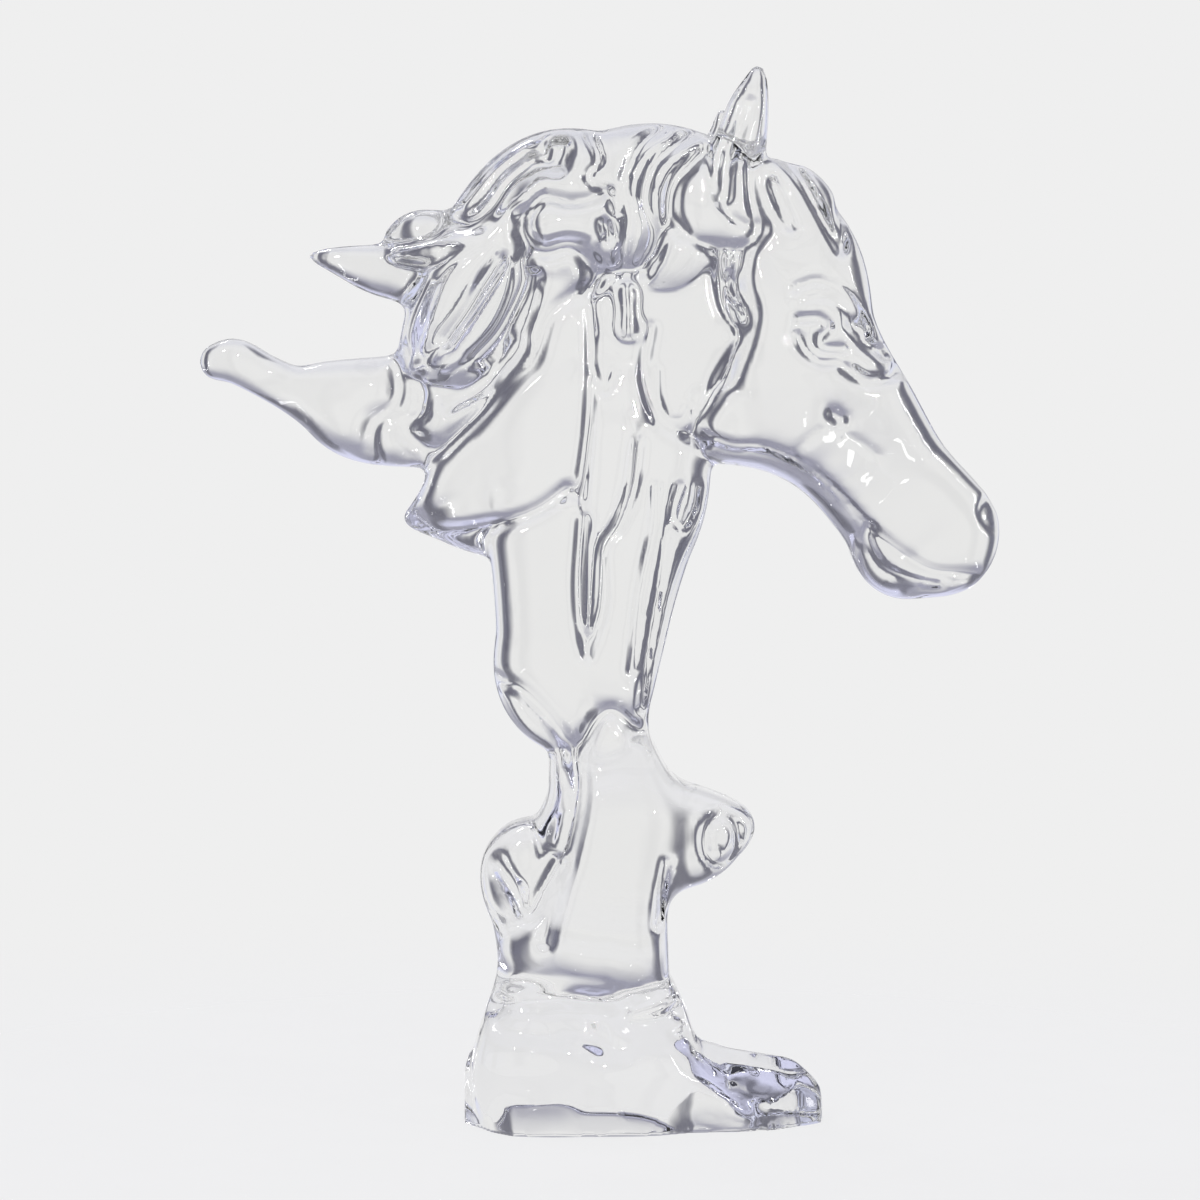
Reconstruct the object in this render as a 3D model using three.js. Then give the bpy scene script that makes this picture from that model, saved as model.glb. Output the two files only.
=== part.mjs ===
// Clear resin horse head on a rough rock pedestal, cast in one piece.
//
// The head looks along +X, its near side is -Y, and it stands on z = 0 with the middle of its
// bounding box over the origin. The form is free, so it is written in hundredths of its own height.
// Limbs with an oval section follow curved axes in the plane of the profile and melt into one
// another, and grooves follow curves on both flanks. The skin where that field is zero is the solid.

import * as THREE from 'three';

const HEIGHT = 400; // mm, from the foot to the tip of the near ear
const SLAB_LENGTH = 95; // mm, of the foot slab along X
const SLAB_DEPTH = 79; // mm, of the foot slab along Y
const SLAB_THICKNESS = 21; // mm, of the foot slab at its middle
const TONGUE_REACH = 84; // mm, from the sculpture's axis to the end of the foot's tongue
const TONGUE_DEPTH = 56; // mm, of the tongue along Y
const TONGUE_THICKNESS = 29; // mm, of the tongue at its middle
const UNIT = HEIGHT / 100; // mm in one hundredth of the height
const CELL = 0.64; // spacing of the sampling grid, in hundredths
const MARGIN = 1.8; // room between the form and the sampled box, in hundredths
const CLOSE = 1.6; // limbs farther than this from a column of the grid aren't melted in there
const TRIANGLES = 9400; // faces kept on the finished skin
const SPANS = 5; // straight pieces of an axis between two of its stations
const SOFTEN = 1; // passes of smoothing over the sampled field
const GROOVE_START = 1.5; // distance from the middle plane where a groove begins to bite
const FAR_SHARE = 0.5; // depth of the grooves on the far flank, as a share of the near flank's
const GROOVE_FULL = 4.0; // distance from the middle plane where a groove has its full depth
const FILLED = -0.05; // value of a grid point that is filled so that the skin doesn't touch itself
const HAIR = 0.06; // points this close to the floor after thinning are set on it
const BOTH = 0;
const NEAR = -1;
const FAR = 1;

// A station is x, z, reach to the left of travel, reach to the right, half depth, and the distance
// of the axis from the middle plane where it isn't zero. Roundness 2 is an ellipse, more is boxier.
const limbs = [
  {
    name: 'pedestal', roundness: 4.4, blend: 1.2, side: BOTH,
    stations: [
      [0, 5, 12.5, 9.2, 9.5], [0, 7, 11.8, 8.6, 9.1], [0, 8.4, 11, 8, 8.3], [0, 9.6, 10.4, 7.2, 7.1],
      [0, 10.8, 9.8, 6.8, 6.3], [0, 12.2, 9.2, 6.5, 6.2], [0, 14, 8.6, 6.4, 7], [0, 16.5, 7.6, 6.3, 7.3],
      [0, 20, 6.4, 6.2, 7.3], [0, 24, 5, 6.6, 7.1], [0.4, 28, 4, 6.6, 6.8], [0.8, 32, 3.4, 5.6, 6.2],
      [1.6, 35.5, 3.6, 3.2, 5.2], [2.3, 38.2, 1.5, 1.4, 4.2],
    ],
  },
  {
    name: 'neck', roundness: 5, blend: 0.9, side: BOTH,
    stations: [
      [-1.2, 33.5, 3.4, 4.0, 4.2], [-1.3, 36.3, 3.4, 4.9, 4.7], [-1.3, 38.6, 3.9, 5.6, 5.0],
      [-1.5, 41, 5.8, 6.1, 5.3], [-1.5, 43.4, 8.8, 6.6, 5.6], [-1.5, 47, 8.6, 7.5, 5.8],
      [-1.5, 52, 8.9, 8.7, 6.0], [-1.5, 57, 9.4, 10.2, 6.0], [-1.2, 61, 10.0, 11.3, 5.9],
      [0, 66, 12, 10.5, 5.7], [1, 71, 12, 11, 5.5], [2, 77, 11, 10.5, 5.4], [3, 84, 10, 9, 5.2],
    ],
  },
  {
    name: 'throat', roundness: 2.2, blend: 1.0, side: BOTH,
    stations: [
      [6, 85, 4, 4, 5.2], [9.6, 78, 4, 4, 5.2], [10.4, 71, 4.4, 4.0, 5.1], [12.2, 66.6, 3.6, 3.6, 4.8],
    ],
  },
  {
    name: 'head', roundness: 4.6, blend: 0.8, side: BOTH,
    stations: [
      [13.4, 84.6, 7.6, 4.2, 5.9], [16.2, 80.2, 8.6, 4.4, 6.7], [18.6, 75, 7.2, 7.2, 7.2],
      [20.2, 71.2, 7.2, 8.9, 7.0], [23, 67, 6.9, 7.1, 6.1], [27, 61.2, 6.3, 5.6, 4.8],
      [31, 56.8, 6.2, 5.6, 4.3], [31.5, 56.1, 6.0, 5.2, 4.1],
    ],
  },
  {
    name: 'jaw', roundness: 3.6, blend: 0.8, side: BOTH,
    stations: [
      [11.6, 67.8, 3.4, 4.8, 6.7], [17, 65.6, 3, 3.8, 6], [21, 62, 3, 2.7, 4.6],
      [25, 57.2, 2.8, 2.6, 3.6], [28, 53.9, 3, 3.7, 3.2], [31, 52.8, 2.5, 2.4, 3],
      [33.6, 53.3, 2.2, 2.3, 2.6],
    ],
  },
  {
    name: 'crest', roundness: 3.2, blend: 0.9, side: BOTH,
    stations: [
      [10, 86.6, 6, 6.8, 5.5], [5, 87.3, 6, 7.7, 6.0], [0, 86.6, 7, 7.6, 6.3], [-4, 86.3, 7, 8.1, 6.2],
      [-7.6, 84.4, 6, 7.1, 5.8], [-11, 80.8, 6, 5.3, 5.3], [-13.3, 76, 5.5, 5.4, 4.9],
      [-14.2, 71, 5.2, 5.0, 4.5], [-13.5, 67, 3, 3, 4.2],
    ],
  },
  {
    name: 'upper lock', roundness: 2.4, blend: 1.0, side: BOTH,
    stations: [
      [-14, 80, 4, 3.5, 3], [-18, 80.8, 3, 2.8, 2.5], [-21.5, 81.4, 2.5, 2.2, 1.9],
      [-25, 82.1, 1.4, 1.3, 1.3], [-27.7, 82.5, 0.5, 0.5, 0.6],
    ],
  },
  {
    name: 'crest curl', roundness: 2.0, blend: 0.8, side: BOTH,
    stations: [
      [-10, 85, 2.5, 2.5, 2.5], [-14, 84.4, 2.3, 2.4, 2.3], [-17.3, 84.3, 2.0, 2.6, 2.0],
      [-19.6, 84.2, 1, 1.3, 1],
    ],
  },
  {
    name: 'lower lock', roundness: 3, blend: 1, side: BOTH,
    stations: [
      [-12, 69, 6, 5.5, 4.6], [-17, 68, 5.5, 5.4, 4], [-22.5, 67.9, 4.9, 5, 3.3],
      [-26, 68.5, 3.1, 4.1, 2.9], [-29, 69.7, 2.3, 2.4, 2.4], [-32, 71.1, 2, 2.1, 2],
      [-34.7, 72.5, 2.1, 2.2, 1.9], [-36.4, 72.5, 1.8, 1.8, 1.6],
    ],
  },
  {
    name: 'third lobe', roundness: 4, blend: 1.0, side: BOTH,
    stations: [
      [-1, 68, 6, 6, 5.8], [-6, 65, 6.5, 5.5, 5.7], [-11, 61.6, 5.3, 5, 4.8],
      [-14.5, 59.2, 2.9, 3, 3.5], [-17.2, 57.9, 1.4, 1.4, 2], [-18.5, 57.7, 0.5, 0.5, 1],
    ],
  },
  {
    name: 'lobe skirt', roundness: 2.2, blend: 0.8, side: BOTH,
    stations: [
      [-3, 60, 5, 4, 5.5], [-8, 57.2, 3.2, 3, 4.5], [-12, 56.2, 1.9, 2, 3], [-16.5, 57, 0.9, 1, 1.8],
    ],
  },
  {
    name: 'left rock', roundness: 2.6, blend: 1.4, side: BOTH,
    stations: [
      [-6, 11, 3.9, 4, 6.2], [-6, 16, 4, 4, 5.9], [-6.3, 20, 4.3, 4, 5.3], [-6.3, 22.6, 5.1, 4, 4.9],
      [-6.2, 24.3, 5.2, 4, 4.7], [-6, 25.8, 3.8, 3.6, 4.6], [-5.2, 27.2, 2.7, 3.6, 4.7],
      [-3.6, 31, 1.6, 2.8, 4.6], [-3.1, 34.5, 1.7, 2.6, 4.4],
    ],
  },
  {
    name: 'right rock', roundness: 3.4, blend: 2.2, side: BOTH,
    stations: [
      [2, 28, 5.6, 6, 6.6], [7.5, 27.5, 4.8, 5, 6], [10.5, 27.9, 3.4, 3.4, 4.6],
      [12.6, 28.3, 1.8, 1.8, 3], [13.6, 28.6, 0.7, 0.7, 1.6],
    ],
  },
  {
    name: 'instep', roundness: 3.2, blend: 1.2, side: BOTH,
    stations: [
      [4, 6, 3.2, 5, 8.7], [7, 4.6, 2.8, 4.4, 8.6], [10, 3.2, 2.4, 3.2, 8.2], [13, 1.6, 1.2, 1.6, 7.5],
    ],
  },
  {
    name: 'near ear', roundness: 2.2, blend: 0.7, side: NEAR,
    stations: [
      [10.4, 86.8, 3.8, 3.4, 2.3, 4.2], [11.5, 88.8, 3.3, 3.1, 2.1, 4.3],
      [12.8, 92.3, 2.7, 2.5, 1.7, 4.3], [13.6, 96, 2.1, 2.0, 1.3, 4.2],
      [14.3, 98.6, 1.2, 1.2, 1.0, 4.0], [14.5, 99.9, 0.7, 0.7, 0.7, 3.9],
    ],
  },
  {
    name: 'far ear', roundness: 2.2, blend: 0.7, side: FAR,
    stations: [
      [9.8, 86.6, 3.4, 2.8, 2.3, 3.8], [10.4, 89, 2.4, 2.4, 1.7, 3.8], [10.9, 92.5, 1.4, 1.4, 1.1, 3.7],
      [11.3, 95.6, 0.8, 0.8, 0.7, 3.6], [11.4, 96.4, 0.6, 0.6, 0.6, 3.6],
    ],
  },
  {
    name: 'forelock', roundness: 2.2, blend: 0.7, side: BOTH,
    stations: [
      [13.5, 88.4, 3.2, 3.0, 3.4, 2.4], [17.5, 87.2, 4.0, 2.2, 3.0, 2.8],
      [20.3, 84.6, 2.6, 1.9, 2.2, 3.6], [22.2, 82.2, 0.8, 0.8, 1.0, 4.0],
    ],
  },
  {
    name: 'brow', roundness: 2.2, blend: 0.9, side: BOTH,
    stations: [
      [18.5, 78.6, 1.4, 1.4, 1.2, 5.6], [21.5, 78.4, 1.9, 1.6, 1.5, 5.0],
      [24, 75.6, 1.3, 1.5, 1.3, 4.3],
    ],
  },
  {
    name: 'bubble lock', roundness: 2.2, blend: 0.5, side: BOTH,
    stations: [
      [-5.3, 85.4, 2.1, 2.4, 1.5, 5.6], [-3, 85.5, 1.9, 2.2, 1.5, 5.8], [0.2, 86.4, 1.5, 1.7, 1.2, 5.6],
    ],
  },
  {
    name: 'first leaf lock', roundness: 2.2, blend: 0.5, side: BOTH,
    stations: [
      [-8.6, 81.6, 0.8, 0.8, 0.9, 5.6], [-10, 78.6, 1.7, 1.7, 1.3, 5.2],
      [-12, 75.4, 1.9, 1.9, 1.4, 4.9], [-15, 72.4, 1.0, 1.0, 1.0, 4.6],
    ],
  },
  {
    name: 'second leaf lock', roundness: 2.2, blend: 0.5, side: BOTH,
    stations: [
      [-10.4, 82.9, 0.7, 0.7, 0.9, 5.2], [-13, 80.6, 1.6, 1.5, 1.3, 4.7],
      [-14.8, 77.4, 1.5, 1.3, 1.2, 4.6], [-16.3, 74.2, 0.7, 0.7, 0.8, 4.4],
    ],
  },
  {
    name: 'third leaf lock', roundness: 2.2, blend: 0.5, side: BOTH,
    stations: [
      [-12, 84.2, 0.8, 0.8, 0.9, 4.4], [-15.5, 83.0, 1.2, 1.1, 1.1, 3.6],
      [-19.3, 82.6, 0.7, 0.7, 0.8, 2.6],
    ],
  },
  {
    name: 'pointed lock', roundness: 2.2, blend: 0.5, side: BOTH,
    stations: [
      [8.5, 83.5, 1.7, 2.2, 1.2, 5.4], [6.6, 81.4, 1.5, 2.0, 1.1, 5.2], [4.4, 80.3, 0.6, 0.6, 0.7, 5.1],
    ],
  },
  {
    name: 'central lock', roundness: 2.2, blend: 0.6, side: BOTH,
    stations: [
      [1, 66, 2.2, 2.2, 0.9, 5.3], [0.5, 60, 1.9, 2.4, 1.1, 5.5], [-0.8, 53, 1.2, 1.2, 0.9, 5.7],
      [-1.5, 46.4, 0.7, 0.7, 0.7, 5.4],
    ],
  },
  {
    name: 'drop', roundness: 2.2, blend: 0.4, side: BOTH,
    stations: [
      [2.3, 79.2, 0.8, 0.8, 0.8, 5.6], [2.4, 77.5, 0.6, 0.6, 0.7, 5.6], [2.4, 75.6, 0.8, 0.8, 0.8, 5.6],
    ],
  },
  {
    name: 'eye', roundness: 2.0, blend: 0.3, side: BOTH,
    stations: [[20.1, 74.5, 0.9, 0.9, 0.9, 6.0], [21.6, 74.1, 0.8, 0.8, 0.8, 5.8]],
  },
  {
    name: 'nostril wing', roundness: 2.2, blend: 0.6, side: BOTH,
    stations: [[35.2, 59.6, 0.9, 0.9, 0.8, 2.7], [36.6, 57.6, 1.0, 1.0, 0.9, 2.4]],
  },
];

// Blocks cut by flat faces, for the foot slab and its tongue. A face is the heading of its outward
// normal in degrees from +X, and its distance from the middle as a share of where an ellipse of the
// block's length and depth would have it. A top is its height at the middle, then its rise along X and
// away from y = 0.
const blocks = [
  {
    name: 'slab', blend: 1.2, round: 0.9, middle: -0.013 * HEIGHT, length: SLAB_LENGTH, depth: SLAB_DEPTH,
    tops: [[1.3 * SLAB_THICKNESS, 0.03, -0.46]],
    faces: [[0, 0.99], [68, 0.8], [98, 1.0], [140, 0.96], [176, 0.99], [214, 1.0], [262, 1.03], [292, 0.8]],
  },
  {
    name: 'tongue', blend: 1.4, round: 0.7, middle: TONGUE_REACH / 2,
    length: TONGUE_REACH, depth: TONGUE_DEPTH,
    tops: [[TONGUE_THICKNESS, -0.14, -0.6], [1.9 * TONGUE_THICKNESS, -1.0, -0.3]],
    faces: [[0, 1.0], [52, 0.98], [82, 1.0], [180, 1.0], [278, 1.0], [308, 0.98]],
  },
];

// A groove follows a curve on both flanks. Its width and depth are in hundredths.
const grooves = [
  {
    name: 'edge of the mane', width: 1.0, depth: 0.9,
    curve: [[-1, 79.5], [-3, 78.5], [-5, 76.7], [-6.3, 72.8], [-8, 71], [-12, 67.4], [-15.3, 64.4]],
  },
  {
    name: 'front strand', width: 0.7, depth: 0.8,
    curve: [[8, 92.5], [6.1, 88.5], [5.6, 85], [4.2, 81.8]],
  },
  {
    name: 'middle strand', width: 0.7, depth: 0.8,
    curve: [[3.7, 93.4], [3.2, 90], [4.1, 85], [3.8, 82]],
  },
  {
    name: 'rear strand', width: 0.7, depth: 0.7,
    curve: [[2.2, 92], [1.8, 88.5], [2.1, 84], [1.3, 81.3]],
  },
  {
    name: 'strand ends', width: 0.8, depth: 0.9,
    curve: [[-1, 79.6], [0.3, 80.9], [4, 81.2]],
  },
  {
    name: 'crest strand', width: 1.0, depth: 1.1,
    curve: [[-6.4, 91], [-8.6, 89.2], [-10.4, 86.8], [-12.4, 85.4], [-14.5, 85.8]],
  },
  {
    name: 'crest dimple', width: 1.3, depth: 1.5,
    curve: [[-4, 92.4], [-4.2, 91.6]],
  },
  {
    name: 'back of the jaw', width: 0.8, depth: 0.9,
    curve: [[13, 82.8], [12.8, 80], [13.7, 76.8], [13, 74.3], [11, 70.5], [8.3, 66]],
  },
  {
    name: 'throat', width: 0.7, depth: 0.7,
    curve: [[4.5, 75.8], [4, 71.5], [5.4, 67], [8.3, 65.6], [13.5, 64.8]],
  },
  {
    name: 'mouth', width: 0.6, depth: 0.6,
    curve: [[25.2, 57], [28, 54.8], [31, 53], [35.2, 52.6]],
  },
  {
    name: 'neck cord', width: 0.6, depth: 0.7,
    curve: [[-1.5, 79.5], [-1.1, 74], [-1.3, 67], [-2.2, 60]],
  },
  {
    name: 'front of the central lock', width: 0.7, depth: 0.8,
    curve: [[3.4, 65], [2.9, 61], [1.6, 57.5], [0.1, 55], [-0.1, 50], [-1, 46.4]],
  },
  {
    name: 'back of the central lock', width: 0.6, depth: 0.7,
    curve: [[-1.9, 58], [-2.3, 52], [-2, 47.5], [-1.4, 45]],
  },
  {
    name: 'front of the neck', width: 0.6, depth: 0.7,
    curve: [[5, 61], [4.8, 57], [3.6, 51], [2.8, 43.5]],
  },
  {
    name: 'foot of the neck', width: 0.8, depth: 0.8,
    curve: [[-9.8, 42.6], [-7.5, 41.8], [-4, 38], [-2.6, 35], [-2.2, 31], [-3.5, 25], [-5.4, 18]],
  },
  {
    name: 'top of the rock', width: 0.8, depth: 0.9,
    curve: [[-2.6, 35], [-1, 38.4], [1, 39.8], [3.2, 37.6]],
  },
  {
    name: 'right cleft', width: 0.6, depth: 0.6,
    curve: [[6, 25.6], [5.5, 22.5], [5.2, 19.5]],
  },
  {
    name: 'waist of the rock', width: 0.9, depth: 1.2,
    curve: [[-10, 11.6], [-5.3, 12.3], [-1, 12.4], [1.4, 11.8], [2.6, 10.4], [6.8, 11]],
  },
  {
    name: 'forelock part', width: 0.6, depth: 0.7,
    curve: [[17.3, 91.4], [18.9, 89], [20.8, 85.4], [22.2, 83]],
  },
  {
    name: 'brow', width: 0.6, depth: 0.8,
    curve: [[18, 79.5], [20, 80.1], [22, 79.3], [23.5, 77.6], [24.6, 75.5]],
  },
  {
    name: 'socket', width: 1.9, depth: 0.7,
    curve: [[19.8, 75], [22.4, 74.4]],
  },
  {
    name: 'first bridge fold', width: 0.7, depth: 1.1,
    curve: [[23.2, 76.2], [24.4, 74.4], [26.4, 73.2]],
  },
  {
    name: 'second bridge fold', width: 0.7, depth: 1.1,
    curve: [[22.8, 72], [24.6, 70.9], [26.6, 71.1], [28, 72]],
  },
  {
    name: 'cheek dimple', width: 0.7, depth: 1.1,
    curve: [[21.6, 67.7], [22.2, 67.2]],
  },
  {
    name: 'nostril', width: 0.6, depth: 0.8,
    curve: [[36.3, 58.8], [36.9, 57.8]],
  },
  {
    name: 'behind the first leaf', width: 0.9, depth: 1.1,
    curve: [[-7.4, 82.2], [-7.4, 79.3], [-9, 75.6], [-11.4, 72.8]],
  },
  {
    name: 'flow to the lower lock', width: 0.9, depth: 1.0,
    curve: [[-6.2, 80.6], [-6.7, 77.4], [-8.3, 74], [-11, 71], [-14.4, 68.4]],
  },
  {
    name: 'first root band', width: 1.0, depth: 1.2,
    curve: [[-19.2, 71.4], [-19.4, 68.8], [-21.6, 66.6], [-22.2, 64.2]],
  },
  {
    name: 'second root band', width: 0.8, depth: 1.0,
    curve: [[-17.2, 70.6], [-17, 68], [-18.6, 66.2], [-16.8, 64.6]],
  },
  {
    name: 'lobe ridge', width: 0.6, depth: 0.8,
    curve: [[-17.4, 57.4], [-14.8, 56.7], [-12, 56.9], [-9, 57.6], [-6, 58.8], [-3.4, 60.6]],
  },
  {
    name: 'left lobe valley', width: 0.8, depth: 0.9,
    curve: [[-9.8, 25.2], [-8.2, 22.6], [-7, 20.4], [-5.6, 22.6], [-4.2, 25.4]],
  },
  {
    name: 'rock shelf', width: 1.5, depth: 0.8,
    curve: [[-9.6, 14], [-4, 14.6], [0, 14.4], [3, 13.4]],
  },
];

const mix = (a, b, t) => a + (b - a) * t;

// Catmull-Rom curve through the rows, every column alike.
function curveThrough(rows) {
  const last = rows.length - 1;
  const row = (i) => {
    if (i < 0) return rows[0].map((v, k) => 2 * v - rows[1][k]);
    if (i > last) return rows[last].map((v, k) => 2 * v - rows[last - 1][k]);
    return rows[i];
  };
  const points = [];
  for (let i = 0; i < last; i += 1) {
    const [p0, p1, p2, p3] = [row(i - 1), row(i), row(i + 1), row(i + 2)];
    for (let s = 0; s < SPANS; s += 1) {
      const t = s / SPANS;
      points.push(p1.map((v, k) => {
        const slope = p2[k] - p0[k];
        const bend = 2 * p0[k] - 5 * v + 4 * p2[k] - p3[k];
        const twist = 3 * v - p0[k] - 3 * p2[k] + p3[k];
        return v + 0.5 * t * (slope + t * (bend + t * twist));
      }));
    }
  }
  points.push(rows[last]);
  return points;
}

// Nearest place on a bent axis, by the gap between the point and the limb's outline there.
function nearestOnLimb(axis, x, z) {
  let found = { gap: Infinity };
  for (let i = 0; i + 1 < axis.length; i += 1) {
    const [a, b] = [axis[i], axis[i + 1]];
    const [dx, dz] = [b[0] - a[0], b[1] - a[1]];
    const length = Math.hypot(dx, dz);
    const t = THREE.MathUtils.clamp(((x - a[0]) * dx + (z - a[1]) * dz) / length ** 2, 0, 1);
    const [ox, oz] = [x - a[0] - t * dx, z - a[1] - t * dz];
    const distance = Math.hypot(ox, oz) + 1e-6;
    const leftness = 0.5 + (0.5 * (dx * oz - dz * ox)) / (length * distance);
    const reach = mix(mix(a[3], b[3], t), mix(a[2], b[2], t), leftness);
    if (distance - reach < found.gap) {
      const depth = mix(a[4], b[4], t);
      const middle = mix(a[5] ?? 0, b[5] ?? 0, t);
      found = { gap: distance - reach, distance, reach, depth, middle };
    }
  }
  return found;
}

// Signed gap to a superellipse section: negative inside, near to a true distance at the skin.
function sectionGap(place, roundness, across) {
  const dy = Math.abs(across - place.middle);
  const inPlane = (place.distance / place.reach) ** roundness;
  const ratio = (inPlane + (dy / place.depth) ** roundness) ** (1 / roundness);
  return Math.hypot(place.distance, dy) * (1 - 1 / Math.max(ratio, 1e-3));
}

// A block's upright faces as unit normals and distances from its middle, in hundredths.
function uprightFaces(block) {
  return block.faces.map(([heading, share]) => {
    const angle = THREE.MathUtils.degToRad(heading);
    const [nx, ny] = [Math.cos(angle), Math.sin(angle)];
    return [nx, ny, (share * Math.hypot(nx * block.length, ny * block.depth)) / 2 / UNIT];
  });
}

// Signed gap to a block: the farthest of its flat faces, with softened edges.
function blockGap(block, upright, x, y, z) {
  const along = x - block.middle / UNIT;
  const tops = block.tops.map(([height, fall, lean]) => z - height / UNIT - fall * along - lean * Math.abs(y));
  const sides = upright.map(([nx, ny, distance]) => nx * along + ny * y - distance);
  return -[...tops, ...sides].reduce((gap, face) => melt(gap, -face, block.round), Infinity);
}

// Smooth minimum of two gaps.
function melt(a, b, blend) {
  const overlap = Math.max(blend - Math.abs(a - b), 0) / blend;
  return Math.min(a, b) - overlap * overlap * blend * 0.25;
}

function squareDistanceToCurve(points, x, z) {
  let best = Infinity;
  for (let i = 0; i + 1 < points.length; i += 1) {
    const [a, b] = [points[i], points[i + 1]];
    const [dx, dz] = [b[0] - a[0], b[1] - a[1]];
    const t = THREE.MathUtils.clamp(((x - a[0]) * dx + (z - a[1]) * dz) / (dx * dx + dz * dz), 0, 1);
    best = Math.min(best, (x - a[0] - t * dx) ** 2 + (z - a[1] - t * dz) ** 2);
  }
  return best;
}

// The sampled box holds every limb and block with a margin, and z = 0 is in the middle of a cell.
function sampledBox() {
  const box = new THREE.Box3();
  const add = (x, y, z) => box.expandByPoint(new THREE.Vector3(x, y, z));
  limbs.forEach(({ stations }) => stations.forEach(([x, z, left, right, depth, middle = 0]) => {
    const reach = Math.max(left, right);
    add(x - reach, -depth - middle, z - reach);
    add(x + reach, depth + middle, z + reach);
  }));
  blocks.forEach(({ middle, length, depth }) => {
    add((middle - length / 2) / UNIT, -depth / 2 / UNIT, 0);
    add((middle + length / 2) / UNIT, depth / 2 / UNIT, 0);
  });
  box.expandByScalar(MARGIN);
  box.min.z = -1.5 * CELL;
  return box;
}

const { min: low, max: high } = sampledBox();
const count = [0, 1, 2].map((k) => Math.ceil((high.getComponent(k) - low.getComponent(k)) / CELL) + 1);
const at = (i, k) => low.getComponent(k) + i * CELL;
const index = (i, j, k) => (k * count[1] + j) * count[0] + i;

// The field on the grid, without grooves.
function sampleForm() {
  const axes = limbs.map((limb) => curveThrough(limb.stations));
  const uprights = blocks.map(uprightFaces);
  const field = new Float64Array(count[0] * count[1] * count[2]);
  for (let k = 0; k < count[2]; k += 1) {
    for (let i = 0; i < count[0]; i += 1) {
      const [x, z] = [at(i, 0), at(k, 2)];
      const places = axes.map((axis) => nearestOnLimb(axis, x, z));
      const nearest = Math.min(...places.map((place) => place.gap));
      for (let j = 0; j < count[1]; j += 1) {
        const y = at(j, 1);
        let gap = Math.max(nearest, CLOSE);
        limbs.forEach((limb, n) => {
          if (places[n].gap > CLOSE) return;
          const across = limb.side === BOTH ? Math.abs(y) : y * limb.side;
          gap = melt(gap, sectionGap(places[n], limb.roundness, across), limb.blend);
        });
        blocks.forEach((block, n) => {
          gap = melt(gap, blockGap(block, uprights[n], x, y, z), block.blend);
        });
        field[index(i, j, k)] = gap;
      }
    }
  }
  return field;
}

// One pass of a 1-2-1 mean along one axis of the grid.
function softenAlong(field, axis) {
  const step = index(...[0, 1, 2].map((k) => (k === axis ? 1 : 0)));
  const out = field.slice();
  for (let k = 1; k + 1 < count[2]; k += 1) {
    for (let j = 1; j + 1 < count[1]; j += 1) {
      for (let i = 1; i + 1 < count[0]; i += 1) {
        const n = index(i, j, k);
        out[n] = 0.25 * field[n - step] + 0.5 * field[n] + 0.25 * field[n + step];
      }
    }
  }
  return out;
}

function cutGrooves(field) {
  const curves = grooves.map((groove) => curveThrough(groove.curve));
  for (let k = 0; k < count[2]; k += 1) {
    for (let i = 0; i < count[0]; i += 1) {
      let depth = 0;
      grooves.forEach((groove, n) => {
        const away = squareDistanceToCurve(curves[n], at(i, 0), at(k, 2));
        depth += groove.depth * Math.exp(-away / groove.width ** 2);
      });
      for (let j = 0; j < count[1]; j += 1) {
        const bite = THREE.MathUtils.smoothstep(Math.abs(at(j, 1)), GROOVE_START, GROOVE_FULL);
        field[index(i, j, k)] += depth * bite * (at(j, 1) > 0 ? FAR_SHARE : 1);
      }
    }
  }
  return field;
}

// The flat underside: the field ends at z = 0.
function endAtFloor(field) {
  for (let k = 0; k < count[2]; k += 1) {
    for (let n = index(0, 0, k); n < index(0, 0, k + 1); n += 1) {
      field[n] = Math.max(field[n], -at(k, 2));
    }
  }
  return field;
}

// The eight corners of a cell, and its twelve edges as pairs of corners.
const corners = [];
const edges = [];
for (let a = 0; a < 8; a += 1) {
  corners.push([a & 1, (a >> 1) & 1, (a >> 2) & 1]);
  for (let bit = 1; bit < 8; bit <<= 1) {
    if (!(a & bit)) edges.push([a, a | bit]);
  }
}

// Whether the marked corners of a cell hang together along its edges.
function hangsTogether(marked) {
  const start = marked.indexOf(true);
  const reached = new Set([start]);
  for (let pass = 0; pass < marked.length; pass += 1) {
    edges.forEach(([a, b]) => {
      if (!marked[a] || !marked[b]) return;
      if (reached.has(a) || reached.has(b)) reached.add(a).add(b);
    });
  }
  return start < 0 || reached.size === marked.filter(Boolean).length;
}

// Fills grid points until no cell holds two separate pieces of skin.
function settle(field) {
  const steady = Array.from({ length: 256 }, (_, mask) => {
    const inside = corners.map((_corner, n) => Boolean(mask & (1 << n)));
    return hangsTogether(inside) && hangsTogether(inside.map((v) => !v));
  });
  let filled = true;
  while (filled) {
    filled = false;
    for (let k = 0; k + 1 < count[2]; k += 1) {
      for (let j = 0; j + 1 < count[1]; j += 1) {
        for (let i = 0; i + 1 < count[0]; i += 1) {
          const places = corners.map(([di, dj, dk]) => index(i + di, j + dj, k + dk));
          const mask = places.reduce((sum, place, n) => sum + (field[place] < 0 ? 1 << n : 0), 0);
          if (steady[mask]) continue;
          const outside = places.filter((place) => field[place] >= 0);
          const weakest = outside.reduce((a, b) => (field[a] < field[b] ? a : b));
          field[weakest] = FILLED;
          filled = true;
        }
      }
    }
  }
  return field;
}

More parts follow.
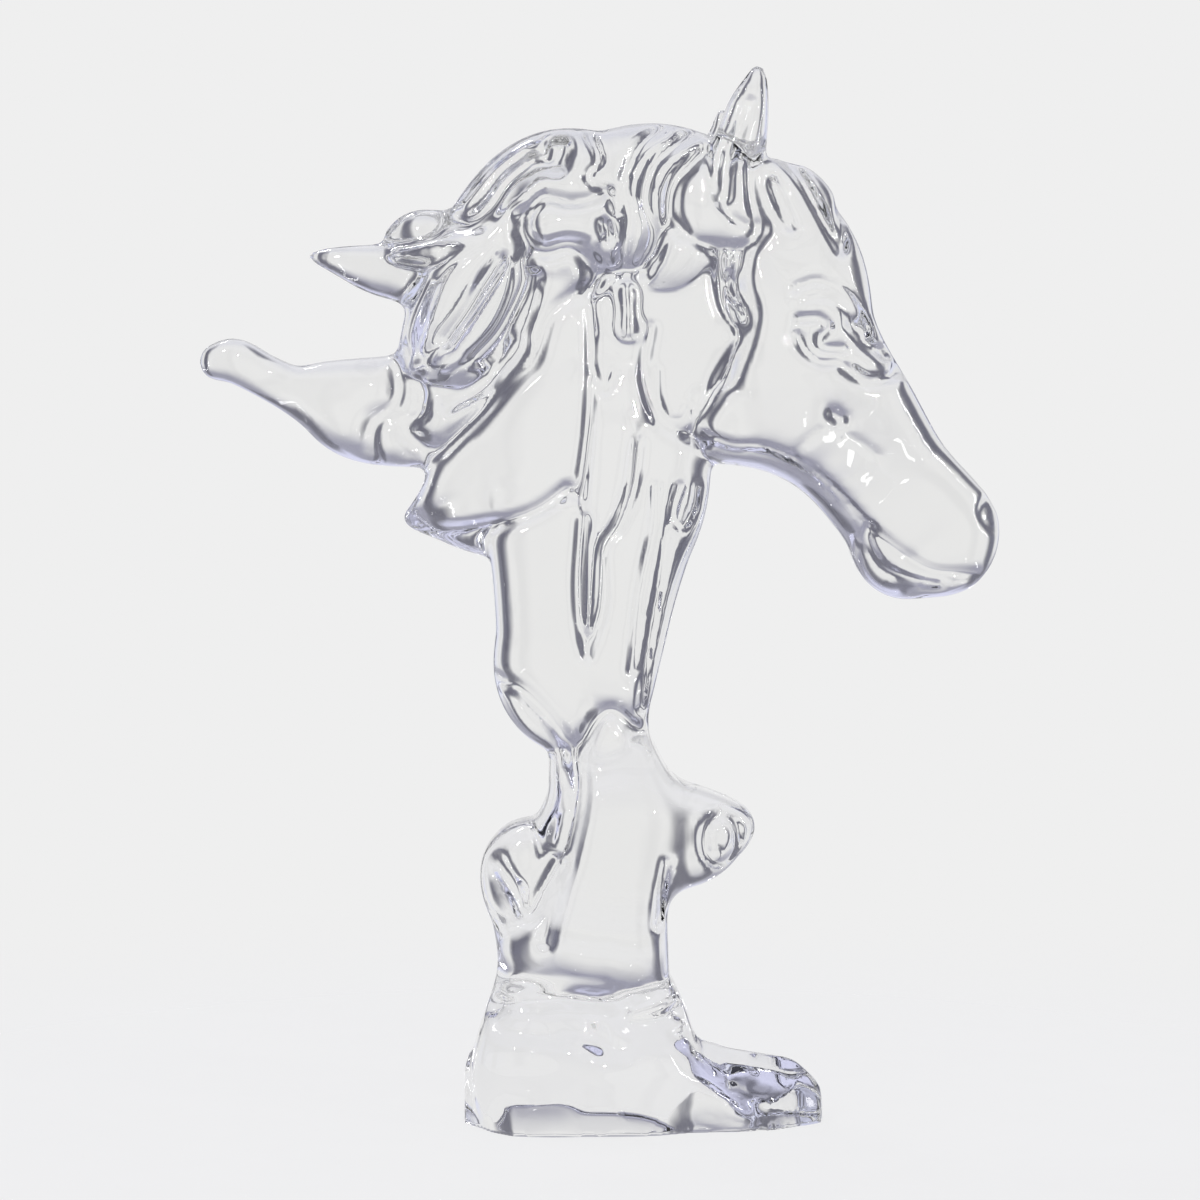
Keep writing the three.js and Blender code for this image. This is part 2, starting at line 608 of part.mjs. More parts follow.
// Skin of the sampled field: one point in every cell that the skin passes through, at the mean of
// the crossings of its edges, and one four-sided face round every crossed edge of the grid.
function skin(field) {
  const points = [];
  const pointOfCell = new Int32Array(field.length).fill(-1);
  for (let k = 0; k + 1 < count[2]; k += 1) {
    for (let j = 0; j + 1 < count[1]; j += 1) {
      for (let i = 0; i + 1 < count[0]; i += 1) {
        const values = corners.map(([di, dj, dk]) => field[index(i + di, j + dj, k + dk)]);
        const sum = [0, 0, 0];
        let crossings = 0;
        for (const [a, b] of edges) {
          if (values[a] < 0 === values[b] < 0) continue;
          const t = values[a] / (values[a] - values[b]);
          for (let c = 0; c < 3; c += 1) {
            sum[c] += mix(corners[a][c], corners[b][c], t);
          }
          crossings += 1;
        }
        if (crossings === 0) continue;
        pointOfCell[index(i, j, k)] = points.length;
        const height = k === 1 ? 0 : at(k + sum[2] / crossings, 2);
        points.push([at(i + sum[0] / crossings, 0), at(j + sum[1] / crossings, 1), height]);
      }
    }
  }
  const faces = [];
  for (let k = 1; k + 1 < count[2]; k += 1) {
    for (let j = 1; j + 1 < count[1]; j += 1) {
      for (let i = 1; i + 1 < count[0]; i += 1) {
        const here = field[index(i, j, k)] < 0;
        for (let axis = 0; axis < 3; axis += 1) {
          const step = [0, 1, 2].map((c) => (c === axis ? 1 : 0));
          const there = field[index(i + step[0], j + step[1], k + step[2])] < 0;
          if (here === there) continue;
          const u = (axis + 1) % 3;
          const v = (axis + 2) % 3;
          const ring = [[0, 0], [1, 0], [1, 1], [0, 1]].map(([du, dv]) => {
            const cell = [i, j, k];
            cell[u] -= du;
            cell[v] -= dv;
            return pointOfCell[index(...cell)];
          });
          if (!here) ring.reverse();
          faces.push([ring[0], ring[1], ring[2]], [ring[0], ring[2], ring[3]]);
        }
      }
    }
  }
  return { points, faces };
}

// Quadric error of a point: the sum of its squared distances to a set of planes, as ten numbers.
function planeQuadric([a, b, c], d, weight) {
  return [a * a, a * b, a * c, a * d, b * b, b * c, b * d, c * c, c * d, d * d].map((v) => v * weight);
}

function quadricError(q, [x, y, z]) {
  return (q[0] * x + 2 * (q[1] * y + q[2] * z + q[3])) * x + (q[4] * y + 2 * (q[5] * z + q[6])) * y
    + (q[7] * z + 2 * q[8]) * z + q[9];
}

// The point of least error, by Cramer's rule, or the middle of the edge where that is unsteady.
function bestPoint(q, from, to) {
  const middle = from.map((v, c) => (v + to[c]) / 2);
  const matrix = new THREE.Matrix3(q[0], q[1], q[2], q[1], q[4], q[5], q[2], q[5], q[7]);
  const scale = q[0] + q[4] + q[7];
  if (Math.abs(matrix.determinant()) < 1e-5 * scale ** 3) return middle;
  const solved = new THREE.Vector3(-q[3], -q[6], -q[8]).applyMatrix3(matrix.invert()).toArray();
  const span = Math.hypot(...from.map((v, c) => v - to[c]));
  const away = Math.hypot(...middle.map((v, c) => v - solved[c]));
  return away < 1.5 * span ? solved : middle;
}

function faceNormal(p, q, r) {
  const [a, b, c] = [p, q, r].map((v) => new THREE.Vector3(...v));
  return b.sub(a).cross(c.sub(a));
}

// Edge collapse by least quadric error until the wanted number of faces is left.
function thin(points, faces, wanted) {
  const around = points.map(() => new Set());
  const quadrics = points.map(() => new Array(10).fill(0));
  faces.forEach((face, n) => {
    const cross = faceNormal(...face.map((p) => points[p]));
    const area = cross.length();
    if (area > 0) cross.divideScalar(area);
    const offset = -cross.dot(new THREE.Vector3(...points[face[0]]));
    const own = planeQuadric(cross.toArray(), offset, area);
    face.forEach((p) => {
      around[p].add(n);
      own.forEach((v, c) => { quadrics[p][c] += v; });
    });
  });
  const age = new Int32Array(points.length);
  const heap = [];
  const swap = (a, b) => { [heap[a], heap[b]] = [heap[b], heap[a]]; };
  const push = (entry) => {
    heap.push(entry);
    let n = heap.length - 1;
    while (n > 0 && heap[(n - 1) >> 1].error > heap[n].error) {
      swap(n, (n - 1) >> 1);
      n = (n - 1) >> 1;
    }
  };
  const pop = () => {
    const top = heap[0];
    const end = heap.pop();
    if (heap.length === 0) return top;
    heap[0] = end;
    for (let n = 0; ;) {
      const below = [2 * n + 1, 2 * n + 2].filter((c) => c < heap.length);
      const children = below.filter((c) => heap[c].error < heap[n].error);
      if (children.length === 0) return top;
      const least = children.reduce((a, b) => (heap[a].error < heap[b].error ? a : b));
      swap(n, least);
      n = least;
    }
  };
  const neighbours = (p) => {
    const set = new Set();
    around[p].forEach((n) => faces[n].forEach((q) => set.add(q)));
    set.delete(p);
    return set;
  };
  const consider = (p, q) => {
    const sum = quadrics[p].map((v, c) => v + quadrics[q][c]);
    const place = bestPoint(sum, points[p], points[q]);
    push({ p, q, place, error: quadricError(sum, place), born: age[p] + age[q] });
  };
  points.forEach((_, p) => neighbours(p).forEach((q) => { if (p < q) consider(p, q); }));

  const turnsOver = (p, q, place) => [...around[p]].some((n) => {
    if (faces[n].includes(q)) return false;
    const before = faceNormal(...faces[n].map((c) => points[c]));
    const after = faceNormal(...faces[n].map((c) => (c === p ? place : points[c])));
    return before.dot(after) < 0.3 * before.length() * after.length() || after.length() < 1e-6;
  });
  let left = faces.length;
  while (left > wanted && heap.length > 0) {
    const { p, q, place, born } = pop();
    if (!around[p] || !around[q] || born !== age[p] + age[q]) continue;
    const shared = [...neighbours(p)].filter((c) => neighbours(q).has(c));
    if (shared.length !== 2 || turnsOver(p, q, place) || turnsOver(q, p, place)) continue;
    const lost = [...around[p]].filter((n) => around[q].has(n));
    lost.forEach((n) => faces[n].forEach((c) => around[c].delete(n)));
    around[q].forEach((n) => {
      faces[n] = faces[n].map((c) => (c === q ? p : c));
      around[p].add(n);
    });
    lost.forEach((n) => { faces[n] = null; });
    quadrics[p] = quadrics[p].map((v, c) => v + quadrics[q][c]);
    points[p] = place;
    around[q] = null;
    age[p] += age[q] + 1;
    left -= lost.length;
    neighbours(p).forEach((c) => {
      age[c] += 1;
    });
    neighbours(p).forEach((c) => {
      consider(p, c);
      neighbours(c).forEach((d) => { if (d !== p) consider(c, d); });
    });
  }
  return faces.filter((face) => face !== null);
}

// The same skin as one buffer geometry in millimetres, with unused points left out.
function toGeometry(points, faces) {
  const place = new Map();
  const position = [];
  const order = faces.flat().map((p) => {
    if (!place.has(p)) {
      place.set(p, position.length / 3);
      position.push(...points[p].map((v) => v * UNIT));
    }
    return place.get(p);
  });
  const geometry = new THREE.BufferGeometry();
  geometry.setAttribute('position', new THREE.Float32BufferAttribute(position, 3));
  geometry.setIndex(order);
  geometry.computeVertexNormals();
  return geometry;
}

// The middle of the bounding box goes onto the z axis.
function centred(geometry) {
  geometry.computeBoundingBox();
  const middle = geometry.boundingBox.getCenter(new THREE.Vector3());
  return geometry.translate(-middle.x, -middle.y, 0);
}

function build() {
  let field = sampleForm();
  for (let pass = 0; pass < SOFTEN; pass += 1) {
    for (let axis = 0; axis < 3; axis += 1) {
      field = softenAlong(field, axis);
    }
  }
  const { points, faces } = skin(settle(endAtFloor(cutGrooves(field))));
  const kept = thin(points, faces, TRIANGLES);
  points.forEach((point) => {
    if (point[2] < HAIR) point[2] = 0;
  });
  return centred(toGeometry(points, kept));
}

const resin = new THREE.MeshStandardMaterial({
  color: 0xe6e8ee, roughness: 0.03, metalness: 0, transparent: true, opacity: 0.35,
});

const sculpture = new THREE.Mesh(build(), resin);
sculpture.name = 'horse_head_sculpture';

const root = new THREE.Group();
root.add(sculpture);

export default root;
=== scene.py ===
"""Clear resin horse head: the fine surface, the resin, the pale studio and the camera."""

import math
from collections import namedtuple

import bpy
import numpy as np
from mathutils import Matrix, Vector


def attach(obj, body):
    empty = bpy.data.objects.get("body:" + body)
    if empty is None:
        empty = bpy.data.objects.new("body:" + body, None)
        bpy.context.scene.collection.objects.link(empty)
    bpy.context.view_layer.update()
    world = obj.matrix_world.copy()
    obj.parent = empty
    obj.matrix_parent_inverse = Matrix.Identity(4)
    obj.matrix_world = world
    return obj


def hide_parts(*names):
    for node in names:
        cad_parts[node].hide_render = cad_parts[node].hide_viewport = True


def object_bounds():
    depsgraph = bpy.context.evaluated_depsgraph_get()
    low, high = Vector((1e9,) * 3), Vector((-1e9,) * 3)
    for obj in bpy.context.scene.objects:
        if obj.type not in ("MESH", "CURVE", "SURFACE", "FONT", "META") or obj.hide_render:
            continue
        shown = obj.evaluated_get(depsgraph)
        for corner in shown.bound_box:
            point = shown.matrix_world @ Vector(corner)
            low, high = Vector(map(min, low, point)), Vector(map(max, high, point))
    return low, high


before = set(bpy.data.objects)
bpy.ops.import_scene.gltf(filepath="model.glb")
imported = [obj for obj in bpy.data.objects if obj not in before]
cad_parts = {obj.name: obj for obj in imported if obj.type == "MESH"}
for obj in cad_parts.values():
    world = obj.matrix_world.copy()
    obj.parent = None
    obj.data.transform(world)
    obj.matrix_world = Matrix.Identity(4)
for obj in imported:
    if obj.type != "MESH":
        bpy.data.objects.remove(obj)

CAD_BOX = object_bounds()
NODE = "horse_head_sculpture"
MM = 0.001
HEIGHT = 400 * MM  # foot to tip of the near ear
UNIT = HEIGHT / 100  # the form is written in hundredths of the height
SLAB_LENGTH = 95 * MM
SLAB_MIDDLE = -0.013 * HEIGHT  # along X
SLAB_DEPTH = 79 * MM
SLAB_THICKNESS = 21 * MM
TONGUE_REACH = 84 * MM
TONGUE_DEPTH = 56 * MM
TONGUE_THICKNESS = 29 * MM

# Down to the lamps, lengths that don't name MM are in hundredths of the height.
CELL = 0.364  # spacing of the sampling grid
SPANS = 8  # straight pieces of a curve between two of its points
SOFTEN = 0.42  # spread of the smoothing of the broad form
SOFTEN_REACH = 2.6  # spreads that the smoothing reaches to each side
MARGIN = 1.8  # room left round the form
OPEN_AIR = 3.0  # the field's value away from every limb
LIMB_ROOM = 2.5  # a limb is worked out this far round its profile
BLOCK_ROOM = 12  # the blocks are worked out up to this height
DEEP_INSIDE = -9  # the least that the gap to a block can be
GROOVE_START = 1.5  # distance from the middle plane where a groove begins
GROOVE_RISE = 2.5  # how much farther out it has its full depth
EAR_START = 3.15  # where the grooves that cut the thin near ear begin
FAR_SHARE = 0.5  # depth of the grooves on the far flank, as a share of the near flank's
BOTH, NEAR, FAR = 0, -1, 1  # flanks, as the sign of y

# Stations: x, z, reach left of travel, reach right of travel, half depth, distance of the axis from y = 0.
Limb = namedtuple("Limb", "name roundness blend side stations")
# The curve's points: x and z.
Line = namedtuple("Line", "name side width depth curve start", defaults=[GROOVE_START])
# Tops: height at the block's middle, slope along x, slope towards each flank.
# Faces: heading in degrees, distance from the middle as a share of the block's half size that way.
Block = namedtuple("Block", "name blend round middle length depth tops faces")

LIMBS = [
    Limb("pedestal", 4.4, 1.2, BOTH, [
        (0, 5, 12.5, 9.2, 9.5), (0, 7, 11.8, 8.6, 9.1), (0, 8.4, 11, 8, 7.9), (0, 9.6, 10.4, 7.2, 7.3),
        (0, 10.8, 9.8, 6.8, 6.4), (0, 12.2, 9.2, 6.5, 5.9), (0, 14, 8.6, 6.4, 6.8),
        (0, 16.5, 7.6, 6.3, 7.5), (0, 20, 6.4, 6.2, 7.3), (0, 24, 5, 6.6, 7.1), (0.4, 28, 4, 6.6, 6.8),
        (0.8, 32, 3.4, 5.6, 6.2), (1.6, 35.5, 3.6, 3.2, 5.2), (2.3, 38.2, 1.5, 1.4, 4.2),
    ]),
    Limb("neck", 5, 0.9, BOTH, [
        (-1.2, 33.5, 3.4, 4, 4.2), (-1.3, 36.3, 3.4, 4.9, 4.7), (-1.3, 38.6, 3.9, 5.6, 5),
        (-1.5, 41, 5.8, 6.1, 5.3), (-1.5, 43.2, 8.7, 6.6, 5.6), (-1.5, 47, 8.6, 7.5, 5.8),
        (-1.5, 52, 8.9, 8.7, 6), (-1.5, 57, 9.4, 10.2, 6), (-1.2, 61, 10, 11.3, 5.9),
        (0, 66, 12, 10.5, 5.7), (1, 71, 12, 11, 5.5), (2, 77, 11, 10.5, 5.4), (3, 84, 10, 9, 5.2),
    ]),
    Limb("throat", 2.2, 1, BOTH, [
        (6, 85, 4, 4, 5.2), (9.8, 78, 4.8, 4, 5.3), (10.4, 71, 4.4, 4, 5.1), (12.2, 66.6, 3.6, 3.6, 4.8),
    ]),
    Limb("head", 4.6, 0.8, BOTH, [
        (13.4, 84.6, 7.6, 4.2, 5.9), (16.2, 80.2, 8.6, 4.4, 6.7), (18.6, 75, 7.2, 7.2, 7.2),
        (20.2, 71.2, 7.2, 8.9, 7), (23, 67, 6.9, 7.1, 6.1), (27, 61.2, 6.3, 5.6, 4.8),
        (31, 56.8, 6.2, 5.6, 4.3), (31.5, 56.1, 6, 5.2, 4.1),
    ]),
    Limb("jaw", 3.6, 0.8, BOTH, [
        (11.6, 67.8, 3.4, 4.8, 6.7), (17, 65.6, 3, 3.8, 6), (21, 62, 3, 2.7, 4.6),
        (25, 57.2, 2.8, 2.6, 3.6), (28, 53.9, 3, 3.7, 3.2), (31, 52.8, 2.5, 2.4, 3),
        (33.6, 53.3, 2.2, 2.3, 2.6),
    ]),
    Limb("crest", 3.2, 0.9, BOTH, [
        (10, 86.6, 6, 6.8, 5.5), (5, 87.3, 6, 7.7, 6), (0, 86.6, 7, 7.6, 6.3), (-4, 86.3, 7, 8.1, 6.2),
        (-7.6, 84.4, 6, 7, 5.8), (-9.4, 82.8, 6, 5.9, 5.6), (-11, 80.8, 6, 5.1, 5.3),
        (-13.3, 76, 5.5, 5.4, 4.9), (-14.2, 71, 5.2, 5, 4.5), (-13.5, 67, 3, 3, 4.2),
    ]),
    Limb("upper lock", 2.4, 1, BOTH, [
        (-14, 80, 4, 3.5, 3), (-18, 80.8, 3, 2.8, 2.5), (-21.5, 81.4, 2.5, 2.2, 1.9),
        (-25, 82.1, 1.4, 1.3, 1.3), (-27.7, 82.5, 0.5, 0.5, 0.6),
    ]),
    Limb("crest curl", 2, 0.8, BOTH, [
        (-10, 85, 2.5, 2.5, 2.5), (-14, 84.4, 2.3, 2.4, 2.3), (-17.3, 84.3, 2, 2.6, 2),
        (-19.6, 84.2, 1, 1.3, 1),
    ]),
    Limb("lower lock", 3, 1, BOTH, [
        (-12, 69, 6, 5.5, 4.6), (-17, 68, 5.5, 5.4, 4), (-22.5, 67.9, 4.9, 5, 3.3),
        (-26, 68.5, 3.1, 4.1, 2.9), (-29, 69.7, 2.3, 2.4, 2.4), (-32, 71.1, 2, 2.1, 2),
        (-34.7, 72.5, 2.1, 2.2, 1.9), (-36.4, 72.5, 1.8, 1.8, 1.6),
    ]),
    Limb("third lobe", 4, 1, BOTH, [
        (-1, 68, 6, 6, 5.8), (-6, 65, 6.5, 5.5, 5.7), (-11, 61.6, 5.3, 5, 5.1),
        (-14.5, 59.2, 2.9, 3, 4.3), (-17.2, 57.9, 1.4, 1.4, 2.8), (-18.5, 57.7, 0.5, 0.5, 1),
    ]),
    Limb("lobe skirt", 2.2, 0.8, BOTH, [
        (-3, 60, 5, 4, 5.5), (-8, 57.2, 3.2, 3, 4.5), (-12, 56.2, 1.9, 2, 3), (-16.5, 57, 0.9, 1, 1.8),
    ]),
    Limb("left rock", 3.4, 1.8, BOTH, [
        (-6, 11, 3.9, 4, 6.2), (-6, 16, 4, 4, 5.9), (-6.3, 20, 4.3, 4, 5.3), (-6.3, 22.8, 5.3, 4, 4.9),
        (-6.2, 24.3, 5.2, 4, 4.9), (-6, 25.8, 2.9, 3.6, 5.1), (-5.2, 27.2, 1.9, 3.6, 5.3),
        (-3.6, 31, 1.6, 2.8, 5.2), (-3.1, 34.5, 1.7, 2.6, 4.8),
    ]),
    Limb("right rock", 3.4, 2.2, BOTH, [
        (2, 28, 5.6, 6, 6.6), (7.5, 27.5, 4.8, 5, 6.1), (10.5, 27.9, 3.4, 3.4, 5.4),
        (12.4, 28.3, 2.1, 2.1, 4.6), (13.5, 28.6, 0.9, 0.9, 3.4),
    ]),
    Limb("instep", 3.2, 1.2, BOTH, [
        (4, 6, 3.2, 5, 8.7), (7, 4.6, 2.8, 4.4, 8.6), (10, 3.2, 2.4, 3.2, 8.2), (13, 1.6, 1.2, 1.6, 7.5),
    ]),
    Limb("near ear", 2.2, 0.7, NEAR, [
        (10.4, 86.8, 3.8, 3.4, 2.3, 4.2), (11.5, 88.8, 3.3, 3.1, 2.1, 4.3),
        (12.8, 92.3, 2.7, 2.5, 1.8, 4.3), (13.6, 96, 2.1, 2, 1.5, 4.2), (14.3, 98.6, 1.2, 1.2, 1.1, 4),
        (14.5, 99.9, 0.7, 0.7, 0.7, 3.9),
    ]),
    Limb("far ear", 2.2, 0.7, FAR, [
        (9.8, 86.6, 3.4, 2.8, 2.3, 3.8), (10.4, 89, 2.4, 2.4, 1.7, 3.8),
        (10.9, 92.5, 1.4, 1.4, 1.1, 3.7), (11.3, 95.6, 0.8, 0.8, 0.7, 3.6),
        (11.4, 96.4, 0.6, 0.6, 0.6, 3.6),
    ]),
    Limb("forelock", 2.2, 0.7, BOTH, [
        (13.5, 88.4, 3.2, 3, 3.4, 2.4), (17.5, 87.2, 4, 2.2, 3, 2.8), (20.3, 84.6, 2.6, 1.9, 2.2, 3.6),
        (22.2, 82.2, 0.8, 0.8, 1, 4),
    ]),
    Limb("brow", 2.2, 0.9, BOTH, [
        (18.5, 78.6, 1.4, 1.4, 1.2, 5.6), (21.5, 78.4, 1.9, 1.6, 1.5, 5),
        (24, 75.6, 1.3, 1.5, 1.3, 4.3),
    ]),
    Limb("bubble lock", 2.2, 0.5, BOTH, [
        (-5.3, 85.4, 2.1, 2.4, 1.5, 5.6), (-3, 85.5, 1.9, 2.2, 1.5, 5.8),
        (0.2, 86.4, 1.5, 1.7, 1.2, 5.6),
    ]),
    Limb("first leaf lock", 2.2, 0.5, BOTH, [
        (-8.6, 81.6, 0.8, 0.8, 0.9, 5.6), (-10, 78.6, 1.7, 1.7, 1.3, 5.2),
        (-12, 75.4, 1.9, 1.9, 1.4, 4.9), (-15, 72.4, 1, 1, 1, 4.6),
    ]),
    Limb("second leaf lock", 2.2, 0.5, BOTH, [
        (-10.4, 82.9, 0.7, 0.7, 0.9, 5.2), (-13, 80.6, 1.6, 1.5, 1.3, 4.7),
        (-14.8, 77.4, 1.5, 1.3, 1.2, 4.6), (-16.3, 74.2, 0.7, 0.7, 0.8, 4.4),
    ]),
    Limb("third leaf lock", 2.2, 0.5, BOTH, [
        (-12, 84.2, 0.8, 0.8, 0.9, 4.4), (-15.5, 83, 1.2, 1.1, 1.1, 3.6),
        (-19.3, 82.6, 0.7, 0.7, 0.8, 2.6),
    ]),
    Limb("pointed lock", 2.2, 0.5, BOTH, [
        (8.5, 83.5, 1.7, 2.2, 1.2, 5.4), (6.6, 81.4, 1.5, 2, 1.1, 5.2), (4.4, 80.3, 0.6, 0.6, 0.7, 5.1),
    ]),
    Limb("central lock", 2.2, 0.6, BOTH, [
        (1, 66, 2.2, 2.2, 0.9, 5.3), (0.5, 60, 1.9, 2.4, 1.1, 5.5), (-0.8, 53, 1.2, 1.2, 0.9, 5.7),
        (-1.5, 46.4, 0.7, 0.7, 0.7, 5.4),
    ]),
    Limb("drop", 2.2, 0.4, BOTH, [
        (2.3, 79.2, 0.8, 0.8, 0.8, 5.6), (2.4, 77.5, 0.6, 0.6, 0.7, 5.6), (2.4, 75.6, 0.8, 0.8, 0.8, 5.6),
    ]),
    Limb("eye", 2.0, 0.3, NEAR, [
        (20.1, 74.5, 0.9, 0.9, 0.9, 6.0), (21.6, 74.1, 0.8, 0.8, 0.8, 5.8),
    ]),
    Limb("nostril wing", 2.2, 0.6, BOTH, [
        (35.2, 59.6, 0.9, 0.9, 0.8, 2.7), (36.6, 57.6, 1, 1, 0.9, 2.4),
    ]),
]

